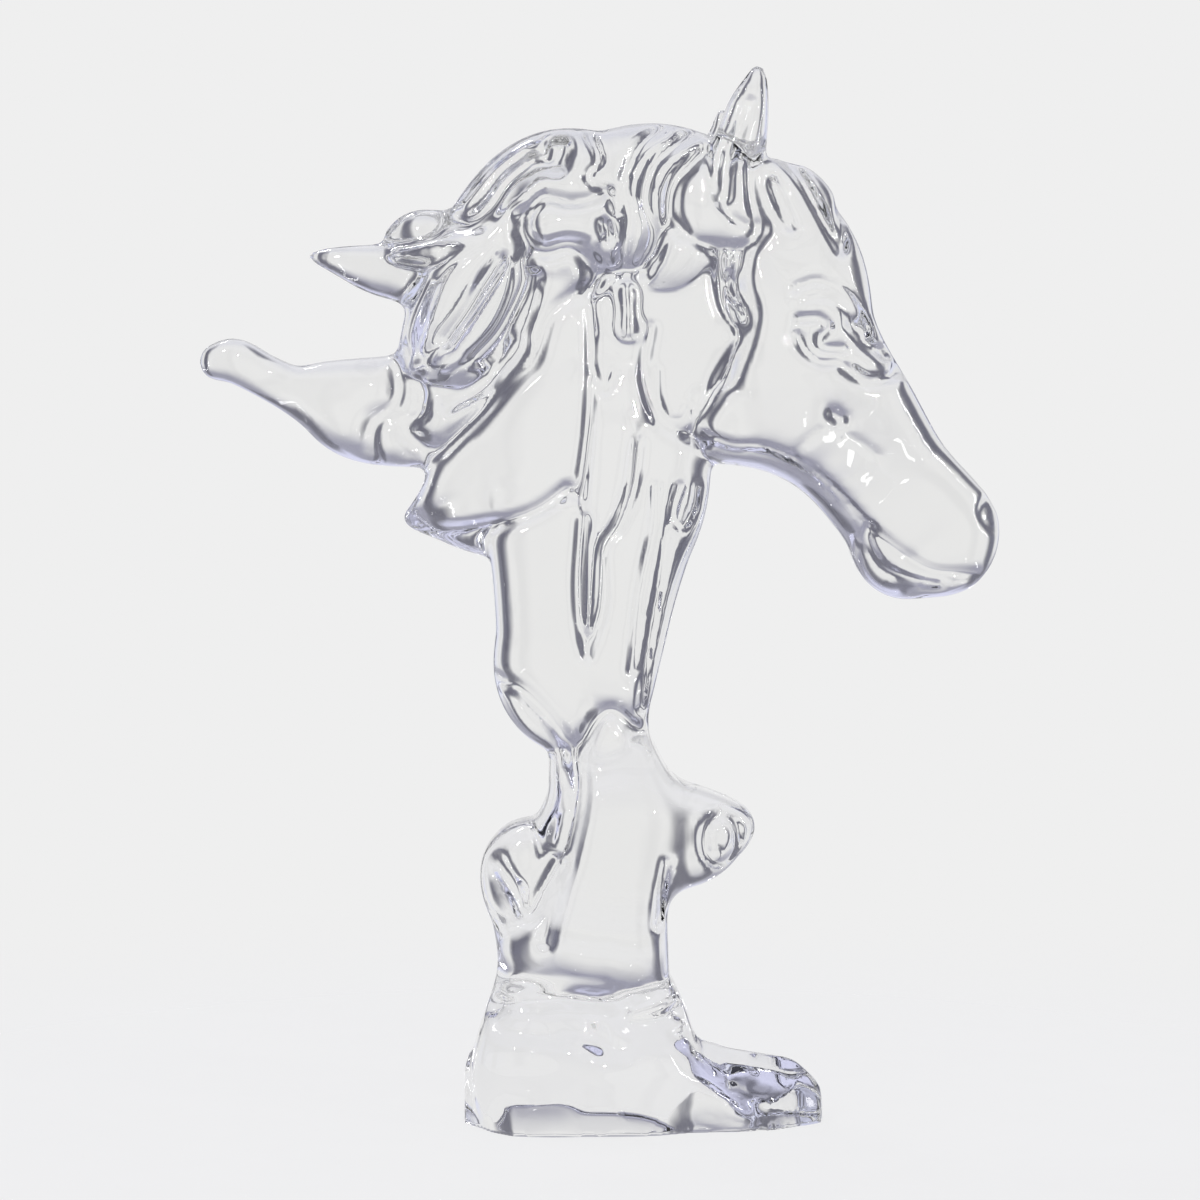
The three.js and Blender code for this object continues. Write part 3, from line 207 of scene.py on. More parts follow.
# Grooves of the mane, head, neck and rock. The finest are on the near flank alone.
LINES = [
    Line("edge of the mane", BOTH, 0.8, 1.0, [
        (-1, 79.5), (-3, 78.5), (-5, 76.7), (-6.3, 72.8), (-8, 71), (-12, 67.4), (-15.3, 64.4),
    ]),
    Line("front strand", BOTH, 0.7, 0.8, [
        (9.2, 92), (6.6, 89.1), (6, 85.9), (4.9, 82.4),
    ]),
    Line("middle strand", BOTH, 0.7, 0.8, [
        (8, 93.6), (5, 91.3), (3.9, 88), (4.6, 84.8), (3.7, 82.1),
    ]),
    Line("rear strand", BOTH, 0.7, 0.7, [
        (5.4, 94.2), (3.3, 92.4), (2, 89.2), (2.4, 85.9), (1.8, 82.2),
    ]),
    Line("strand ends", BOTH, 0.8, 0.9, [
        (-1, 79.6), (0.3, 80.9), (4, 81.2),
    ]),
    Line("crest strand", BOTH, 1.1, 1.5, [
        (-6.4, 91), (-8.6, 89.2), (-10.4, 86.8), (-12.4, 85.4), (-14.5, 85.8),
    ]),
    Line("crest swirl", NEAR, 0.5, 0.9, [
        (-1.2, 93.6), (-0.4, 91.4), (-1.4, 89.7), (0.6, 88.3), (1.2, 86.6),
    ]),
    Line("crest dimple", NEAR, 1.1, 2.2, [(-4, 92.3), (-4.3, 91.2)]),
    Line("back of the jaw", BOTH, 0.9, 1.2, [
        (13, 82.8), (12.8, 80), (13.7, 76.8), (13, 74.3), (11, 70.5), (8.3, 66),
    ]),
    Line("behind the jaw", BOTH, 0.5, 0.6, [(11, 83), (10.9, 80), (11.3, 77.8), (12.6, 75.6)]),
    Line("under the jaw", NEAR, 0.45, 0.7, [
        (9.6, 65.9), (12, 64.9), (15, 64.7), (18, 63.5), (21, 61.4), (23.4, 59), (25.2, 57),
    ]),
    Line("throat", BOTH, 0.7, 0.7, [(4.5, 75.8), (4, 71.5), (5.4, 67), (8.3, 65.6), (9.6, 65.2)]),
    Line("mouth", BOTH, 0.6, 0.6, [
        (25.2, 57), (28, 54.8), (31, 53), (35.2, 52.6),
    ]),
    Line("neck cord", BOTH, 0.6, 0.7, [
        (-1.5, 79.5), (-1.1, 74), (-1.3, 67), (-2.2, 60),
    ]),
    Line("front of the central lock", BOTH, 0.7, 0.8, [
        (3.4, 65), (2.9, 61), (1.6, 57.5), (0.1, 55), (-0.1, 50), (-1, 46.4),
    ]),
    Line("back of the central lock", BOTH, 0.6, 0.7, [
        (-1.9, 58), (-2.3, 52), (-2, 47.5), (-1.4, 45),
    ]),
    Line("front of the neck", BOTH, 0.6, 0.7, [
        (5, 61), (4.8, 57), (3.6, 51), (2.8, 43.5),
    ]),
    Line("foot of the neck", BOTH, 0.8, 0.8, [
        (-9.8, 42.6), (-7.5, 41.8), (-4, 38), (-2.6, 35), (-2.2, 31), (-3.5, 25), (-5.4, 18),
    ]),
    Line("top of the rock", BOTH, 0.8, 0.9, [
        (-2.6, 35), (-1, 38.4), (1, 39.8), (3.2, 37.6),
    ]),
    Line("right cleft", NEAR, 0.5, 0.8, [(6, 25.6), (5.5, 22.5), (5.2, 19.5)]),
    Line("waist of the rock", BOTH, 0.9, 1.2, [
        (-10, 11.6), (-5.3, 12.3), (-1, 12.4), (1.4, 11.8), (2.6, 10.4), (6.8, 11),
    ]),
    Line("ear cup", NEAR, 0.7, 1.0, [
        (8.5, 91.5), (6.8, 89.5), (6.4, 86.5), (8, 84.3), (11, 83.2), (13.4, 83.3), (14.8, 85),
    ], EAR_START),
    Line("ear hollow", NEAR, 0.75, 1.5, [(11.4, 88), (11.7, 91), (12.7, 94), (13.6, 96.6)], EAR_START),
    Line("ear rim", NEAR, 0.4, 0.5, [(9.7, 92), (10.2, 88.5), (12.5, 85.8), (14.2, 85.3)], EAR_START),
    Line("forelock part", NEAR, 0.6, 1.0, [(17.3, 91.4), (18.9, 89), (20.8, 85.4), (22.2, 83)]),
    Line("forelock leaf", NEAR, 0.6, 1.1, [(15.9, 89.2), (16.6, 87.4), (17.5, 85.3)]),
    Line("forelock edge", BOTH, 0.5, 0.6, [(22.4, 88), (22.1, 86), (22.6, 83.8)]),
    Line("brow", NEAR, 0.6, 0.8, [(18, 79.5), (20, 80.1), (22, 79.3), (23.5, 77.6), (24.6, 75.5)]),
    Line("upper lid", NEAR, 0.5, 1.0, [
        (18.3, 76.6), (20, 76.7), (21.1, 75.9), (20.3, 74.9), (20.5, 74), (22.5, 73.8),
    ]),
    Line("lower lid", NEAR, 0.45, 0.9, [(18.1, 75.2), (18.9, 73.6), (20.3, 72.6), (21.8, 72.6)]),
    Line("socket", BOTH, 1.9, 0.7, [(19.8, 75), (22.4, 74.4)]),
    Line("first bridge fold", NEAR, 0.7, 1.1, [(23.2, 76.2), (24.4, 74.4), (26.4, 73.2)]),
    Line("second bridge fold", NEAR, 0.7, 1.1, [(22.8, 72), (24.6, 70.9), (26.6, 71.1), (28, 72)]),
    Line("cheek dimple", NEAR, 0.7, 1.1, [(21.6, 67.7), (22.2, 67.2)]),
    Line("cheek bone", NEAR, 0.5, 0.3, [(20.6, 66.3), (19.4, 65.5), (17.8, 63.9)]),
    Line("front cheek bone", NEAR, 0.5, 0.3, [(22.8, 65.6), (24.2, 64.9), (25.8, 63.7)]),
    Line("lower lip", NEAR, 0.45, 0.6, [(24.8, 56.3), (26, 53.2), (28.6, 52.2), (31.6, 51.6)]),
    Line("nostril", BOTH, 0.6, 0.8, [(36.3, 58.8), (36.9, 57.8)]),
    Line("nostril rim", NEAR, 0.35, 0.6, [
        (35.8, 59), (36.5, 59.6), (37.3, 58.8), (37.5, 57.4), (36.9, 56.8), (36, 57.4), (35.6, 58.4),
        (35.8, 59),
    ]),
    Line("throat lens", NEAR, 0.4, 0.7, [(7.5, 61), (6.7, 58.5), (7.3, 57), (8.5, 59), (8.8, 61)]),
    Line("throat fold", NEAR, 0.4, 0.5, [(5.1, 72), (5.3, 69), (6.1, 67.4), (7.4, 67.2), (8.2, 68.4)]),
    Line("over the bubble lock", NEAR, 0.6, 1.2, [
        (-7.3, 86.2), (-5.4, 88), (-3, 87.6), (-1, 87.9), (0.4, 88.6),
    ]),
    Line("under the bubble lock", NEAR, 1.0, 1.8, [
        (-7.6, 86), (-7.2, 84.2), (-5.5, 82.9), (-3.2, 83.4), (-1.6, 82.4), (-0.6, 80.8),
    ]),
    Line("behind the first leaf", BOTH, 1.0, 1.5, [
        (-7.4, 82.2), (-7.4, 79.3), (-9, 75.6), (-11.4, 72.8),
    ]),
    Line("flow to the lower lock", NEAR, 0.7, 1.1, [
        (-6.2, 80.6), (-6.7, 77.4), (-8.3, 74), (-11, 71), (-14.4, 68.4),
    ]),
    Line("outer flow", NEAR, 0.7, 0.8, [(-16.6, 80), (-17.8, 77.2), (-18.3, 75), (-18, 73)]),
    Line("upper lock line", BOTH, 0.45, 0.5, [(-26.4, 82.8), (-22.4, 82.3), (-19, 81.4)]),
    Line("dark crescent", NEAR, 1.1, 1.8, [(-16, 69.9), (-12.4, 69.8), (-9.4, 72), (-7.8, 73.8)]),
    Line("lower lock ridge", BOTH, 0.5, 0.5, [
        (-37, 71.6), (-34, 71.4), (-31, 69.9), (-27, 66.2), (-24.6, 64.7), (-21, 64.2),
    ]),
    Line("first root band", BOTH, 1.2, 2.6, [(-19.2, 71.4), (-19.4, 68.8), (-21.6, 66.6), (-22.2, 64.2)]),
    Line("second root band", BOTH, 0.9, 1.8, [(-17.2, 70.6), (-17, 68), (-18.6, 66.2), (-16.8, 64.6)]),
    Line("lobe ridge", BOTH, 0.8, 1.2, [
        (-17.4, 57.4), (-14.8, 56.7), (-12, 56.9), (-9, 57.6), (-6, 58.8), (-3.4, 60.6),
    ]),
    Line("neck notch", NEAR, 0.35, 0.5, [(-0.7, 71.6), (0.3, 69.7), (1.2, 71.6)]),
    Line("front edge of the neck", BOTH, 0.5, 0.6, [(7, 61), (6.1, 57), (5.1, 51), (4.1, 45), (3.5, 40)]),
    Line("right lobe lens", BOTH, 0.5, 0.5, [
        (11.1, 29.9), (12.6, 28.6), (12.5, 26.6), (11, 25.2), (9.7, 26.4), (9.7, 28.6), (11.1, 29.9),
    ]),
    Line("left lobe valley", NEAR, 0.8, 1.1, [
        (-9.8, 25.2), (-8.2, 22.6), (-7, 20.4), (-5.6, 22.6), (-4.2, 25.4),
    ]),
    Line("rock shelf", BOTH, 1.5, 0.8, [(-9.6, 14), (-4, 14.6), (0, 14.4), (3, 13.4)]),
    Line("under the waist", BOTH, 1.1, 0.8, [
        (-9.4, 9.9), (-5, 9.6), (-1, 9.2), (1.6, 8.2), (4, 9.2), (7.4, 9),
    ]),
    Line("instep edge", NEAR, 0.5, 0.35, [(5.6, 10.4), (8, 8), (10.4, 5.8), (12, 4.6)]),
    Line("inner brow", NEAR, 0.5, 0.7, [(19, 78.4), (20.8, 78.7), (22.4, 77.6), (23.3, 76)]),
    Line("between the leaves", NEAR, 0.7, 0.9, [(-9.6, 82.2), (-11.2, 79.6), (-12.8, 77), (-14.6, 74.6)]),
    Line("ear front", NEAR, 0.6, 0.8, [(13.6, 91.4), (13.9, 88), (14.7, 85.2)], EAR_START),
    Line("bubble dimple", NEAR, 0.6, 1.3, [(0.2, 85.5), (0.5, 84.4)]),
]

BLOCKS = [
    Block("slab", 0.7, 0.5, SLAB_MIDDLE, SLAB_LENGTH, SLAB_DEPTH,
          [(1.3 * SLAB_THICKNESS, 0.03, -0.46)],
          [
              (0, 0.99), (68, 0.8), (98, 1.0), (140, 0.96), (176, 0.99), (214, 1.0), (262, 1.03),
              (292, 0.8),
          ]),
    Block("tongue", 1.4, 0.7, TONGUE_REACH / 2, TONGUE_REACH, TONGUE_DEPTH,
          [(TONGUE_THICKNESS, -0.16, -0.5), (1.9 * TONGUE_THICKNESS, -1.0, -0.3)],
          [
              (0, 1.0), (52, 0.98), (82, 1.0), (180, 1.0), (278, 1.0), (308, 0.98),
          ]),
]


def curve_through(rows):
    """Catmull-Rom curve. Of four rows a, b, c and d, the stretch from b to c is half of
    2b + (c - a)t + (2a - 5b + 4c - d)t^2 + (3b - a - 3c + d)t^3."""
    rows = np.array(rows, float)
    rows = np.vstack([2 * rows[0] - rows[1], rows, 2 * rows[-1] - rows[-2]])
    a, b, c, d = rows[:-3, None], rows[1:-2, None], rows[2:-1, None], rows[3:, None]
    t = np.linspace(0, 1, SPANS, endpoint=False)[None, :, None]
    points = b + 0.5 * t * (c - a + t * (2 * a - 5 * b + 4 * c - d + t * (3 * b - a - 3 * c + d)))
    return np.vstack([points.reshape(-1, rows.shape[1]), rows[-2:-1]]).astype(np.float32)


def melt(a, b, blend):
    """Smooth minimum: the lesser value, less blend/4 times the square of how much the two overlap."""
    overlap = np.maximum(blend - np.abs(a - b), 0) / blend
    return np.minimum(a, b) - overlap * overlap * blend * 0.25


def limb_gap(limb, x, y, z):
    """Signed gap to a limb. Every column across the profile takes the place on the bent axis where its
    distance less the reach is least. Its section there is (distance/reach)^n + (dy/depth)^n = 1."""
    axis = curve_through([station + (0,) * (6 - len(station)) for station in limb.stations])
    gx, gz = np.meshgrid(x, z)
    least = np.full(gx.shape, np.inf, np.float32)
    kept = [np.ones_like(least) for _ in range(4)]  # distance, reach, depth and middle at the place taken
    for a, b in zip(axis[:-1], axis[1:]):
        dx, dz = b[0] - a[0], b[1] - a[1]
        length = math.hypot(dx, dz)
        t = np.clip(((gx - a[0]) * dx + (gz - a[1]) * dz) / length ** 2, 0, 1)
        ox, oz = gx - a[0] - t * dx, gz - a[1] - t * dz
        distance = np.hypot(ox, oz) + 1e-6  # never nought, since it divides
        leftness = 0.5 + 0.5 * (dx * oz - dz * ox) / (length * distance)
        left, right, depth, middle = (a[i] + t * (b[i] - a[i]) for i in (2, 3, 4, 5))
        reach = right + (left - right) * leftness
        nearer = distance - reach < least
        least = np.where(nearer, distance - reach, least)
        for i, value in enumerate((distance, reach, depth, middle)):
            kept[i] = np.where(nearer, value, kept[i])
    distance, reach, depth, middle = kept
    across = (np.abs(y) if limb.side == BOTH else y * limb.side)[:, None, None]
    dy = np.abs(across - middle)
    n = limb.roundness
    ratio = ((distance / reach) ** n + (dy / depth) ** n) ** (1 / n)
    return np.hypot(distance, dy) * (1 - 1 / np.maximum(ratio, 1e-3))  # the ratio is nought on the axis


def block_gap(block, x, y, z):
    """Signed gap to a block: the smooth maximum of the gaps to its sloping tops and its upright faces."""
    x, y, z = x[None, None, :], y[:, None, None], z[None, :, None]
    along = x - block.middle / UNIT
    gap = DEEP_INSIDE
    for height, slope, lean in block.tops:
        top = height / UNIT + slope * along + lean * np.abs(y) - z
        gap = -melt(-gap, top, block.round)
    for heading, share in block.faces:
        nx, ny = math.cos(math.radians(heading)), math.sin(math.radians(heading))
        distance = share * math.hypot(nx * block.length, ny * block.depth) / 2 / UNIT
        gap = -melt(-gap, distance - nx * along - ny * y, block.round)
    return gap


def softened(field):
    """Mean along each axis of the grid in turn, weighted by exp(-(distance / spread)^2 / 2)."""
    reach = math.ceil(SOFTEN_REACH * SOFTEN / CELL)
    weights = np.exp(-0.5 * (np.arange(-reach, reach + 1) * CELL / SOFTEN) ** 2)
    weights = (weights / weights.sum()).astype(np.float32)
    for axis in range(3):
        size = field.shape[axis]
        wide = np.pad(field, [(reach, reach) if k == axis else (0, 0) for k in range(3)], mode="edge")
        field = sum(wide.take(range(i, i + size), axis) * w for i, w in enumerate(weights))
    return field


def line_depth(line, x, z):
    """Depth of a groove over the profile: depth times exp(-(distance to the curve / width)^2)."""
    curve = curve_through(line.curve)
    gx, gz = np.meshgrid(x, z)
    least = np.full(gx.shape, np.inf, np.float32)
    for a, b in zip(curve[:-1], curve[1:]):
        dx, dz = b - a
        t = np.clip(((gx - a[0]) * dx + (gz - a[1]) * dz) / (dx * dx + dz * dz), 0, 1)
        least = np.minimum(least, (gx - a[0] - t * dx) ** 2 + (gz - a[1] - t * dz) ** 2)
    return line.depth * np.exp(-least / line.width ** 2)


def sampled_axes():
    """Grid coordinates that hold every limb and block with a margin; z = 0 is in the middle of a cell."""
    rows = [(row, max(row[2], row[3])) for limb in LIMBS for row in limb.stations]
    low_x = min(row[0] - reach for row, reach in rows)
    high_x = max(row[0] + reach for row, reach in rows)
    high_z = max(row[1] + reach for row, reach in rows)
    half_y = max(SLAB_DEPTH / 2 / UNIT, max(sum(row[4:]) for row, _ in rows))
    x = np.arange(low_x - MARGIN, high_x + MARGIN, CELL)
    y = np.arange(-half_y - MARGIN, half_y + MARGIN, CELL)
    z = np.arange(-1.5 * CELL, high_z + MARGIN, CELL)
    return x.astype(np.float32), y.astype(np.float32), z.astype(np.float32)


def window(axis, low, high):
    """The slice of a rising axis that covers a range."""
    return slice(max(np.searchsorted(axis, low) - 1, 0), np.searchsorted(axis, high) + 1)


def sample_form():
    """The field over the grid, as an array over y, z and x: limbs and blocks melted together and softened,
    then each groove's depth added, from nothing at its start to all of it by 3s^2 - 2s^3 of its share s."""
    x, y, z = sampled_axes()
    field = np.full((len(y), len(z), len(x)), OPEN_AIR, np.float32)
    for limb in LIMBS:
        rows = np.array([row[:4] for row in limb.stations])
        reach = rows[:, 2:].max() + LIMB_ROOM
        xs = window(x, rows[:, 0].min() - reach, rows[:, 0].max() + reach)
        zs = window(z, rows[:, 1].min() - reach, rows[:, 1].max() + reach)
        field[:, zs, xs] = melt(field[:, zs, xs], limb_gap(limb, x[xs], y, z[zs]), limb.blend)
    for block in BLOCKS:
        zs = window(z, z[0], BLOCK_ROOM)
        field[:, zs] = melt(field[:, zs], block_gap(block, x, y, z[zs]), block.blend)
    field = softened(field)
    for side, start in sorted({(line.side, line.start) for line in LINES}):
        depth = sum(line_depth(line, x, z) for line in LINES if (line.side, line.start) == (side, start))
        share = np.clip((np.abs(y) - start) / GROOVE_RISE, 0, 1) * (np.sign(y) * side >= 0)
        share = share * share * (3 - 2 * share) * np.where(y > 0, FAR_SHARE, 1)
        field += share[:, None, None] * depth
    return np.maximum(field, -z[None, :, None]), (x, y, z)


def sampled_at(field, place):
    """Trilinear value of the grid at places given in cells along x, y and z."""
    last = np.array(field.shape)[[2, 0, 1]] - 2
    low = np.clip(np.floor(place).astype(int), 0, last)
    f = (place - low).astype(np.float32)
    i, j, k = low.T
    value = 0
    for di in (0, 1):
        for dj in (0, 1):
            for dk in (0, 1):
                weight = np.abs(1 - di - f[:, 0]) * np.abs(1 - dj - f[:, 1]) * np.abs(1 - dk - f[:, 2])
                value = value + weight * field[j + dj, k + dk, i + di]
    return value


def slope_at(field, place):
    """Central differences of the sampled field, half a cell each way."""
    step = 0.5 * np.eye(3)
    return np.stack([sampled_at(field, place + s) - sampled_at(field, place - s) for s in step], 1)


def skin(field):
    """Surface nets: a point in every cell that the skin crosses, at the mean of its edge crossings, and a
    four-sided face round every crossed edge of the grid. Places come in cells along x, y and z."""
    grid = field.transpose(2, 0, 1)
    cells = tuple(n - 1 for n in grid.shape)
    total = np.zeros(cells + (3,), np.float32)
    crossings = np.zeros(cells, np.int8)
    corner = [(a & 1, (a >> 1) & 1, (a >> 2) & 1) for a in range(8)]
    part = [grid[i:i + cells[0], j:j + cells[1], k:k + cells[2]] for i, j, k in corner]
    for a in range(8):
        for axis in range(3):
            b = a | (1 << axis)
            if b == a:
                continue
            crossed = (part[a] < 0) != (part[b] < 0)
            va, vb = part[a][crossed], part[b][crossed]
            place = np.tile(np.array(corner[a], np.float32), (len(va), 1))
            place[:, axis] = va / (va - vb)
            total[crossed] += place
            crossings += crossed
    used = crossings > 0
    points = np.argwhere(used) + total[used] / crossings[used][:, None]
    number = np.full(cells, -1, np.int64)
    number[used] = np.arange(len(points))
    inside = grid < 0
    faces = []
    for axis in range(3):
        u, v = (axis + 1) % 3, (axis + 2) % 3
        here = [slice(None)] * 3
        there = [slice(None)] * 3
        here[axis], there[axis] = slice(0, -1), slice(1, None)
        change = inside[tuple(here)].astype(np.int8) - inside[tuple(there)]
        for sign in (1, -1):
            at = np.argwhere(change == sign)
            ring = []
            for du, dv in ((0, 0), (1, 0), (1, 1), (0, 1))[::sign]:
                cell = at.copy()
                cell[:, u] -= du
                cell[:, v] -= dv
                ring.append(number[tuple(cell.T)])
            faces.append(np.stack(ring, 1))
    return points, np.vstack(faces)


def added(name, data):
    """A new object in the scene."""
    thing = bpy.data.objects.new(name, data)
    bpy.context.scene.collection.objects.link(thing)
    return thing


PULLS = 2  # times that the skin's points are drawn onto the zero of the field
LONGEST_PULL = 0.5  # cells that a point moves at most
FLATTEST = 0.02  # least square of a slope that a pull is divided by
FLOOR_CELL_TOP = 2  # in cells up the grid: the top of the cell that z = 0 passes through


def cast():
    """The casting: the skin, its points drawn by -slope * value / slope^2 onto the zero of the field, then
    stretched to the CAD box. Also gives how far the form was moved back along X to centre it."""
    field, (x, y, z) = sample_form()
    points, faces = skin(field)
    on_floor = points[:, 2] < FLOOR_CELL_TOP
    for _ in range(PULLS):
        slope = slope_at(field, points)
        steep = np.maximum((slope * slope).sum(1), FLATTEST)
        move = -slope * (sampled_at(field, points) / steep)[:, None]
        points = points + np.clip(move, -LONGEST_PULL, LONGEST_PULL) * ~on_floor[:, None]
    points = np.array([x[0], y[0], z[0]]) + points * CELL
    points[on_floor, 2] = 0
    middle = (points.max(0) + points.min(0)) / 2
    points[:, :2] -= middle[:2]
    points *= np.ptp(CAD_BOX, axis=0) / np.ptp(points, axis=0)
    mesh = bpy.data.meshes.new("resin_casting")
    mesh.from_pydata(points, [], faces)
    mesh.validate()
    mesh.shade_smooth()
    return added("resin_casting", mesh), middle[0] * UNIT


class Sock:
    """A shader socket that takes part in plain arithmetic."""

    def __init__(self, tree, socket):
        self.tree, self.socket = tree, socket

    def _maths(self, operation, first, second):
        return node(self.tree, "ShaderNodeMath", {"operation": operation}, [first, second])

    def __add__(self, other):
        return self._maths("ADD", self, other)

    def __radd__(self, other):
        return self._maths("ADD", other, self)

    def __sub__(self, other):
        return self._maths("SUBTRACT", self, other)

    def __rsub__(self, other):
        return self._maths("SUBTRACT", other, self)

    def __mul__(self, other):
        return self._maths("MULTIPLY", self, other)

    def __rmul__(self, other):
        return self._maths("MULTIPLY", other, self)

    def between(self, low, high):
        """0 under low, 1 over high, smooth between them."""
        settings = {"interpolation_type": "SMOOTHSTEP"}
        return node(self.tree, "ShaderNodeMapRange", settings, [self, low, high])


def node(tree, kind, settings=None, inputs=(), output=0):
    """Adds a node: its type, then its settings, then values or links for its inputs by place or by name."""
    made = tree.nodes.new(kind)
    for name, value in (settings or {}).items():
        setattr(made, name, value)
    pairs = inputs.items() if isinstance(inputs, dict) else enumerate(inputs)
    for key, value in pairs:
        if isinstance(value, Sock):
            tree.links.new(value.socket, made.inputs[key])
        elif value is not None:
            made.inputs[key].default_value = value
    return Sock(tree, made.outputs[output]) if made.outputs else made


def blended(tree, share, first, second):
    """The colour between two colours: the first at share 0, the second at 1."""
    return node(tree, "ShaderNodeMix", {"data_type": "RGBA"}, {0: share, 6: first, 7: second}, output=2)


def bare_tree(owner):
    """The emptied node tree of a material or world."""
    owner.use_nodes = True
    owner.node_tree.nodes.clear()
    return owner.node_tree


RESIN_DEEP, RESIN_PALE = (0.92, 0.92, 0.913, 1), (0.938, 0.938, 0.932, 1)


def resin_material():
    """Clear cast resin: see-through, with the faint unevenness of a polished casting."""
    material = bpy.data.materials.new("clear_resin")
    tree = bare_tree(material)
    place = node(tree, "ShaderNodeTexCoord", output="Object")
    cloud = node(tree, "ShaderNodeTexNoise", None, {"Vector": place, "Scale": 14.0, "Detail": 2.0})
    ripple = node(tree, "ShaderNodeTexNoise", None, {"Vector": place, "Scale": 55.0, "Detail": 1.0})
    tint = blended(tree, cloud.between(0.3, 0.7), RESIN_DEEP, RESIN_PALE)
    bump = node(tree, "ShaderNodeBump", None, {"Strength": 0.03, "Distance": 0.5 * MM, "Height": ripple})
    node(tree, "ShaderNodeOutputMaterial", None, {"Surface": node(tree, "ShaderNodeBsdfPrincipled", None, {
        "Base Color": tint,
        "Roughness": 0.004 + 0.012 * cloud,
        "IOR": 1.5,
        "Transmission Weight": 1.0,
        "Normal": bump,
    })})
    return material


FLOOR_RADIUS = 620 * MM
FLOOR_SIDES = 96
FLOOR_GAP = 0.05 * MM  # how far it lies under the foot, so that the two faces don't meet
FADE_START, FADE_END = 0.35 * FLOOR_RADIUS, 0.97 * FLOOR_RADIUS
# Painted shadow under the foot: the floor's glow has the dark tone within the first distance of the floor's
# middle and is full beyond the second.
PAINTED_SHADOW_START, PAINTED_SHADOW_END = 10 * MM, 44 * MM
FLOOR_DARK, FLOOR_PALE = (0.07, 0.07, 0.07, 1), (0.08, 0.08, 0.08, 1)
# Tones of the floor's glow: the painted shadow under the foot, then the full glow.
PAINTED_SHADOW_TONE, LIT = (0.4, 0.4, 0.43, 1), (1, 1, 1, 1)
GLOW = 0.797  # brings the floor to the backdrop's tone


def floor_material():
    """Plain pale floor whose glow carries a painted shadow under the foot, and that fades into the backdrop
    towards its rim.
    """
    material = bpy.data.materials.new("pale_floor")
    tree = bare_tree(material)
    place = node(tree, "ShaderNodeTexCoord", output="Object")
    away = node(tree, "ShaderNodeVectorMath", {"operation": "LENGTH"}, [place], output="Value")
    grain = node(tree, "ShaderNodeTexNoise", None, {"Vector": place, "Scale": 40.0})
    node(tree, "ShaderNodeOutputMaterial", None, {"Surface": node(tree, "ShaderNodeBsdfPrincipled", None, {
        "Base Color": blended(tree, grain, FLOOR_DARK, FLOOR_PALE),
        "Roughness": 0.9,
        "Specular IOR Level": 0.0,
        # Painted shadow: the floor's glow is darkened near its middle, under the foot.
        "Emission Color": blended(tree, away.between(PAINTED_SHADOW_START, PAINTED_SHADOW_END), PAINTED_SHADOW_TONE, LIT),
        "Emission Strength": GLOW,
        "Alpha": 1 - away.between(FADE_START, FADE_END),
    })})
    return material


def add_floor():
    """A flat disc of one face: its rim is the radius times the cosine and sine of the angle."""
    turns = np.linspace(0, 2 * math.pi, FLOOR_SIDES, endpoint=False)
    rim = FLOOR_RADIUS * np.stack([np.cos(turns), np.sin(turns), 0 * turns], 1)
    mesh = bpy.data.meshes.new("studio_floor")
    mesh.from_pydata(rim, [], [list(range(len(turns)))])
    mesh.materials.append(floor_material())
    floor = added("studio_floor", mesh)
    floor.location.z = -FLOOR_GAP


FLAGS = 8  # dark upright flags round the studio, each halfway between two of the main headings
BACKDROP = (0.863, 0.863, 0.863, 1)
RING_SIDE, RING_END = (0.86, 0.86, 0.86, 1), (0.70, 0.73, 0.94, 1)
DIM_BAND, SHEET = (0.33, 0.33, 0.41, 1), (0.72, 0.73, 0.95, 1)
LOW_GREY, FLAG_GREY = (0.66, 0.67, 0.75, 1), (0.15, 0.15, 0.19, 1)


def studio_world():
    """The camera sees the plain backdrop. The resin sees a bright ring that is cooler at both ends, a dim
    band and a cool sheet of light over it, grey below, and dark flags where -cos(FLAGS * heading) is high.
    x, y and z are the direction's parts, so z is the sine of its angle over the horizon."""
    world = bpy.data.worlds.new("studio")
    bpy.context.scene.world = world
    tree = bare_tree(world)
    towards = node(tree, "ShaderNodeTexCoord", output="Generated")
    x, y, z = (node(tree, "ShaderNodeSeparateXYZ", None, [towards], output=name) for name in "XYZ")
    heading = node(tree, "ShaderNodeMath", {"operation": "ARCTAN2"}, [y, x])
    wave = node(tree, "ShaderNodeMath", {"operation": "COSINE"}, [heading * FLAGS])
    flag = (0 - wave).between(0.3, 1.0) * (1 - z.between(0.5, 0.7)) * z.between(-0.7, -0.4)
    ring = blended(tree, (x * x).between(0.35, 0.8), RING_SIDE, RING_END)
    overhead = blended(tree, z.between(0.5, 0.75), DIM_BAND, SHEET)
    above = blended(tree, z.between(0.08, 0.4), ring, overhead)
    around = blended(tree, z.between(-0.75, -0.3), LOW_GREY, above)
    studio = blended(tree, flag, around, FLAG_GREY)
    camera_ray = node(tree, "ShaderNodeLightPath", output="Is Camera Ray")
    seen = blended(tree, camera_ray, studio, BACKDROP)
    background = node(tree, "ShaderNodeBackground", None, [seen, 1.0])
    node(tree, "ShaderNodeOutputWorld", None, {"Surface": background})


# In metres and watts. Each is aimed at a height on the Z axis.
Lamp = namedtuple("Lamp", "name place aim size power")

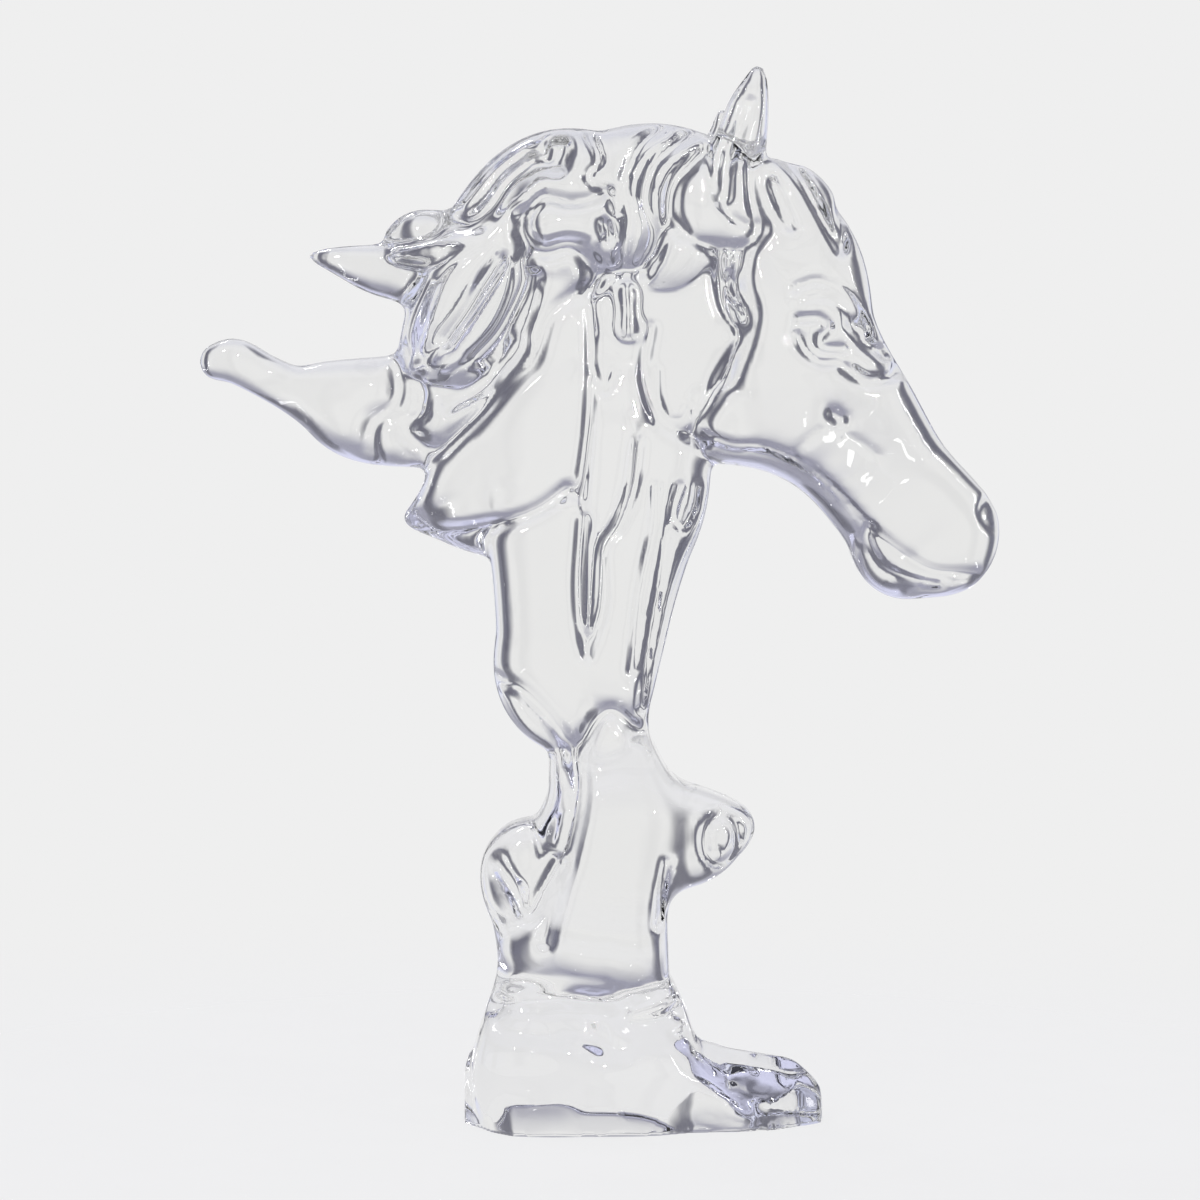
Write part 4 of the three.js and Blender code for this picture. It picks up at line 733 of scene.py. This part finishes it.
LAMPS = [
    Lamp("key", (-0.7, -1.1, 1.0), 0.25, (0.08, 0.2), 2),
    Lamp("fill", (1.1, -0.7, 0.55), 0.2, (0.08, 0.5), 3),
    Lamp("top", (-0.5, 0.5, 1.3), 0.3, (0.3, 0.08), 3),
    Lamp("spark", (-0.25, -1.3, 0.75), 0.2, (0.04, 0.07), 1.6),
    Lamp("high spark", (0.35, -1.1, 1.15), 0.25, (0.03, 0.05), 1.6),
    Lamp("low spark", (0.55, -1.2, 0.4), 0.15, (0.03, 0.04), 1.2),
]


def add_softbox(lamp):
    """An oblong soft light that the camera doesn't see."""
    light = bpy.data.lights.new(lamp.name, "AREA")
    light.shape = "RECTANGLE"
    light.size, light.size_y = lamp.size
    light.energy = lamp.power
    softbox = added(lamp.name, light)
    softbox.location = lamp.place
    view = Vector((0, 0, lamp.aim)) - Vector(lamp.place)
    softbox.rotation_euler = view.to_track_quat("-Z", "Y").to_euler()
    softbox.visible_camera = False


LENS_MM = 135
PICTURE_MM = 456.3  # what the picture's side spans at the sculpture
AIM_Z = 199.2 * MM  # height in the middle of the picture
AIM_X = -0.24 * UNIT  # place along X in the middle of the picture, before the form is centred
ELEVATION = 4.0  # degrees that the camera looks down
NEAREST_SEEN = 50 * MM
BOUNCES = 24  # enough for light to pass through all the folds of the resin


def add_camera(shift):
    """Looks along +Y, and down, from picture side * lens / sensor width away."""
    camera = bpy.data.cameras.new("camera")
    camera.lens = LENS_MM
    camera.clip_start = NEAREST_SEEN
    distance = PICTURE_MM * MM * LENS_MM / camera.sensor_width
    tilt = math.radians(ELEVATION)
    aim = Vector((AIM_X - shift, 0, AIM_Z))
    eye = added("camera", camera)
    eye.location = aim + distance * Vector((0, -math.cos(tilt), math.sin(tilt)))
    eye.rotation_euler = (math.pi / 2 - tilt, 0, 0)
    bpy.context.scene.camera = eye


def main():
    """Makes the casting and its studio."""
    casting, shift = cast()
    casting.data.materials.append(resin_material())
    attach(casting, "root")
    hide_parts(NODE)
    add_floor()
    studio_world()
    for lamp in LAMPS:
        add_softbox(lamp)
    add_camera(shift)
    scene = bpy.context.scene
    scene.view_settings.view_transform = "Standard"
    scene.cycles.max_bounces = BOUNCES
    scene.cycles.transmission_bounces = BOUNCES


main()
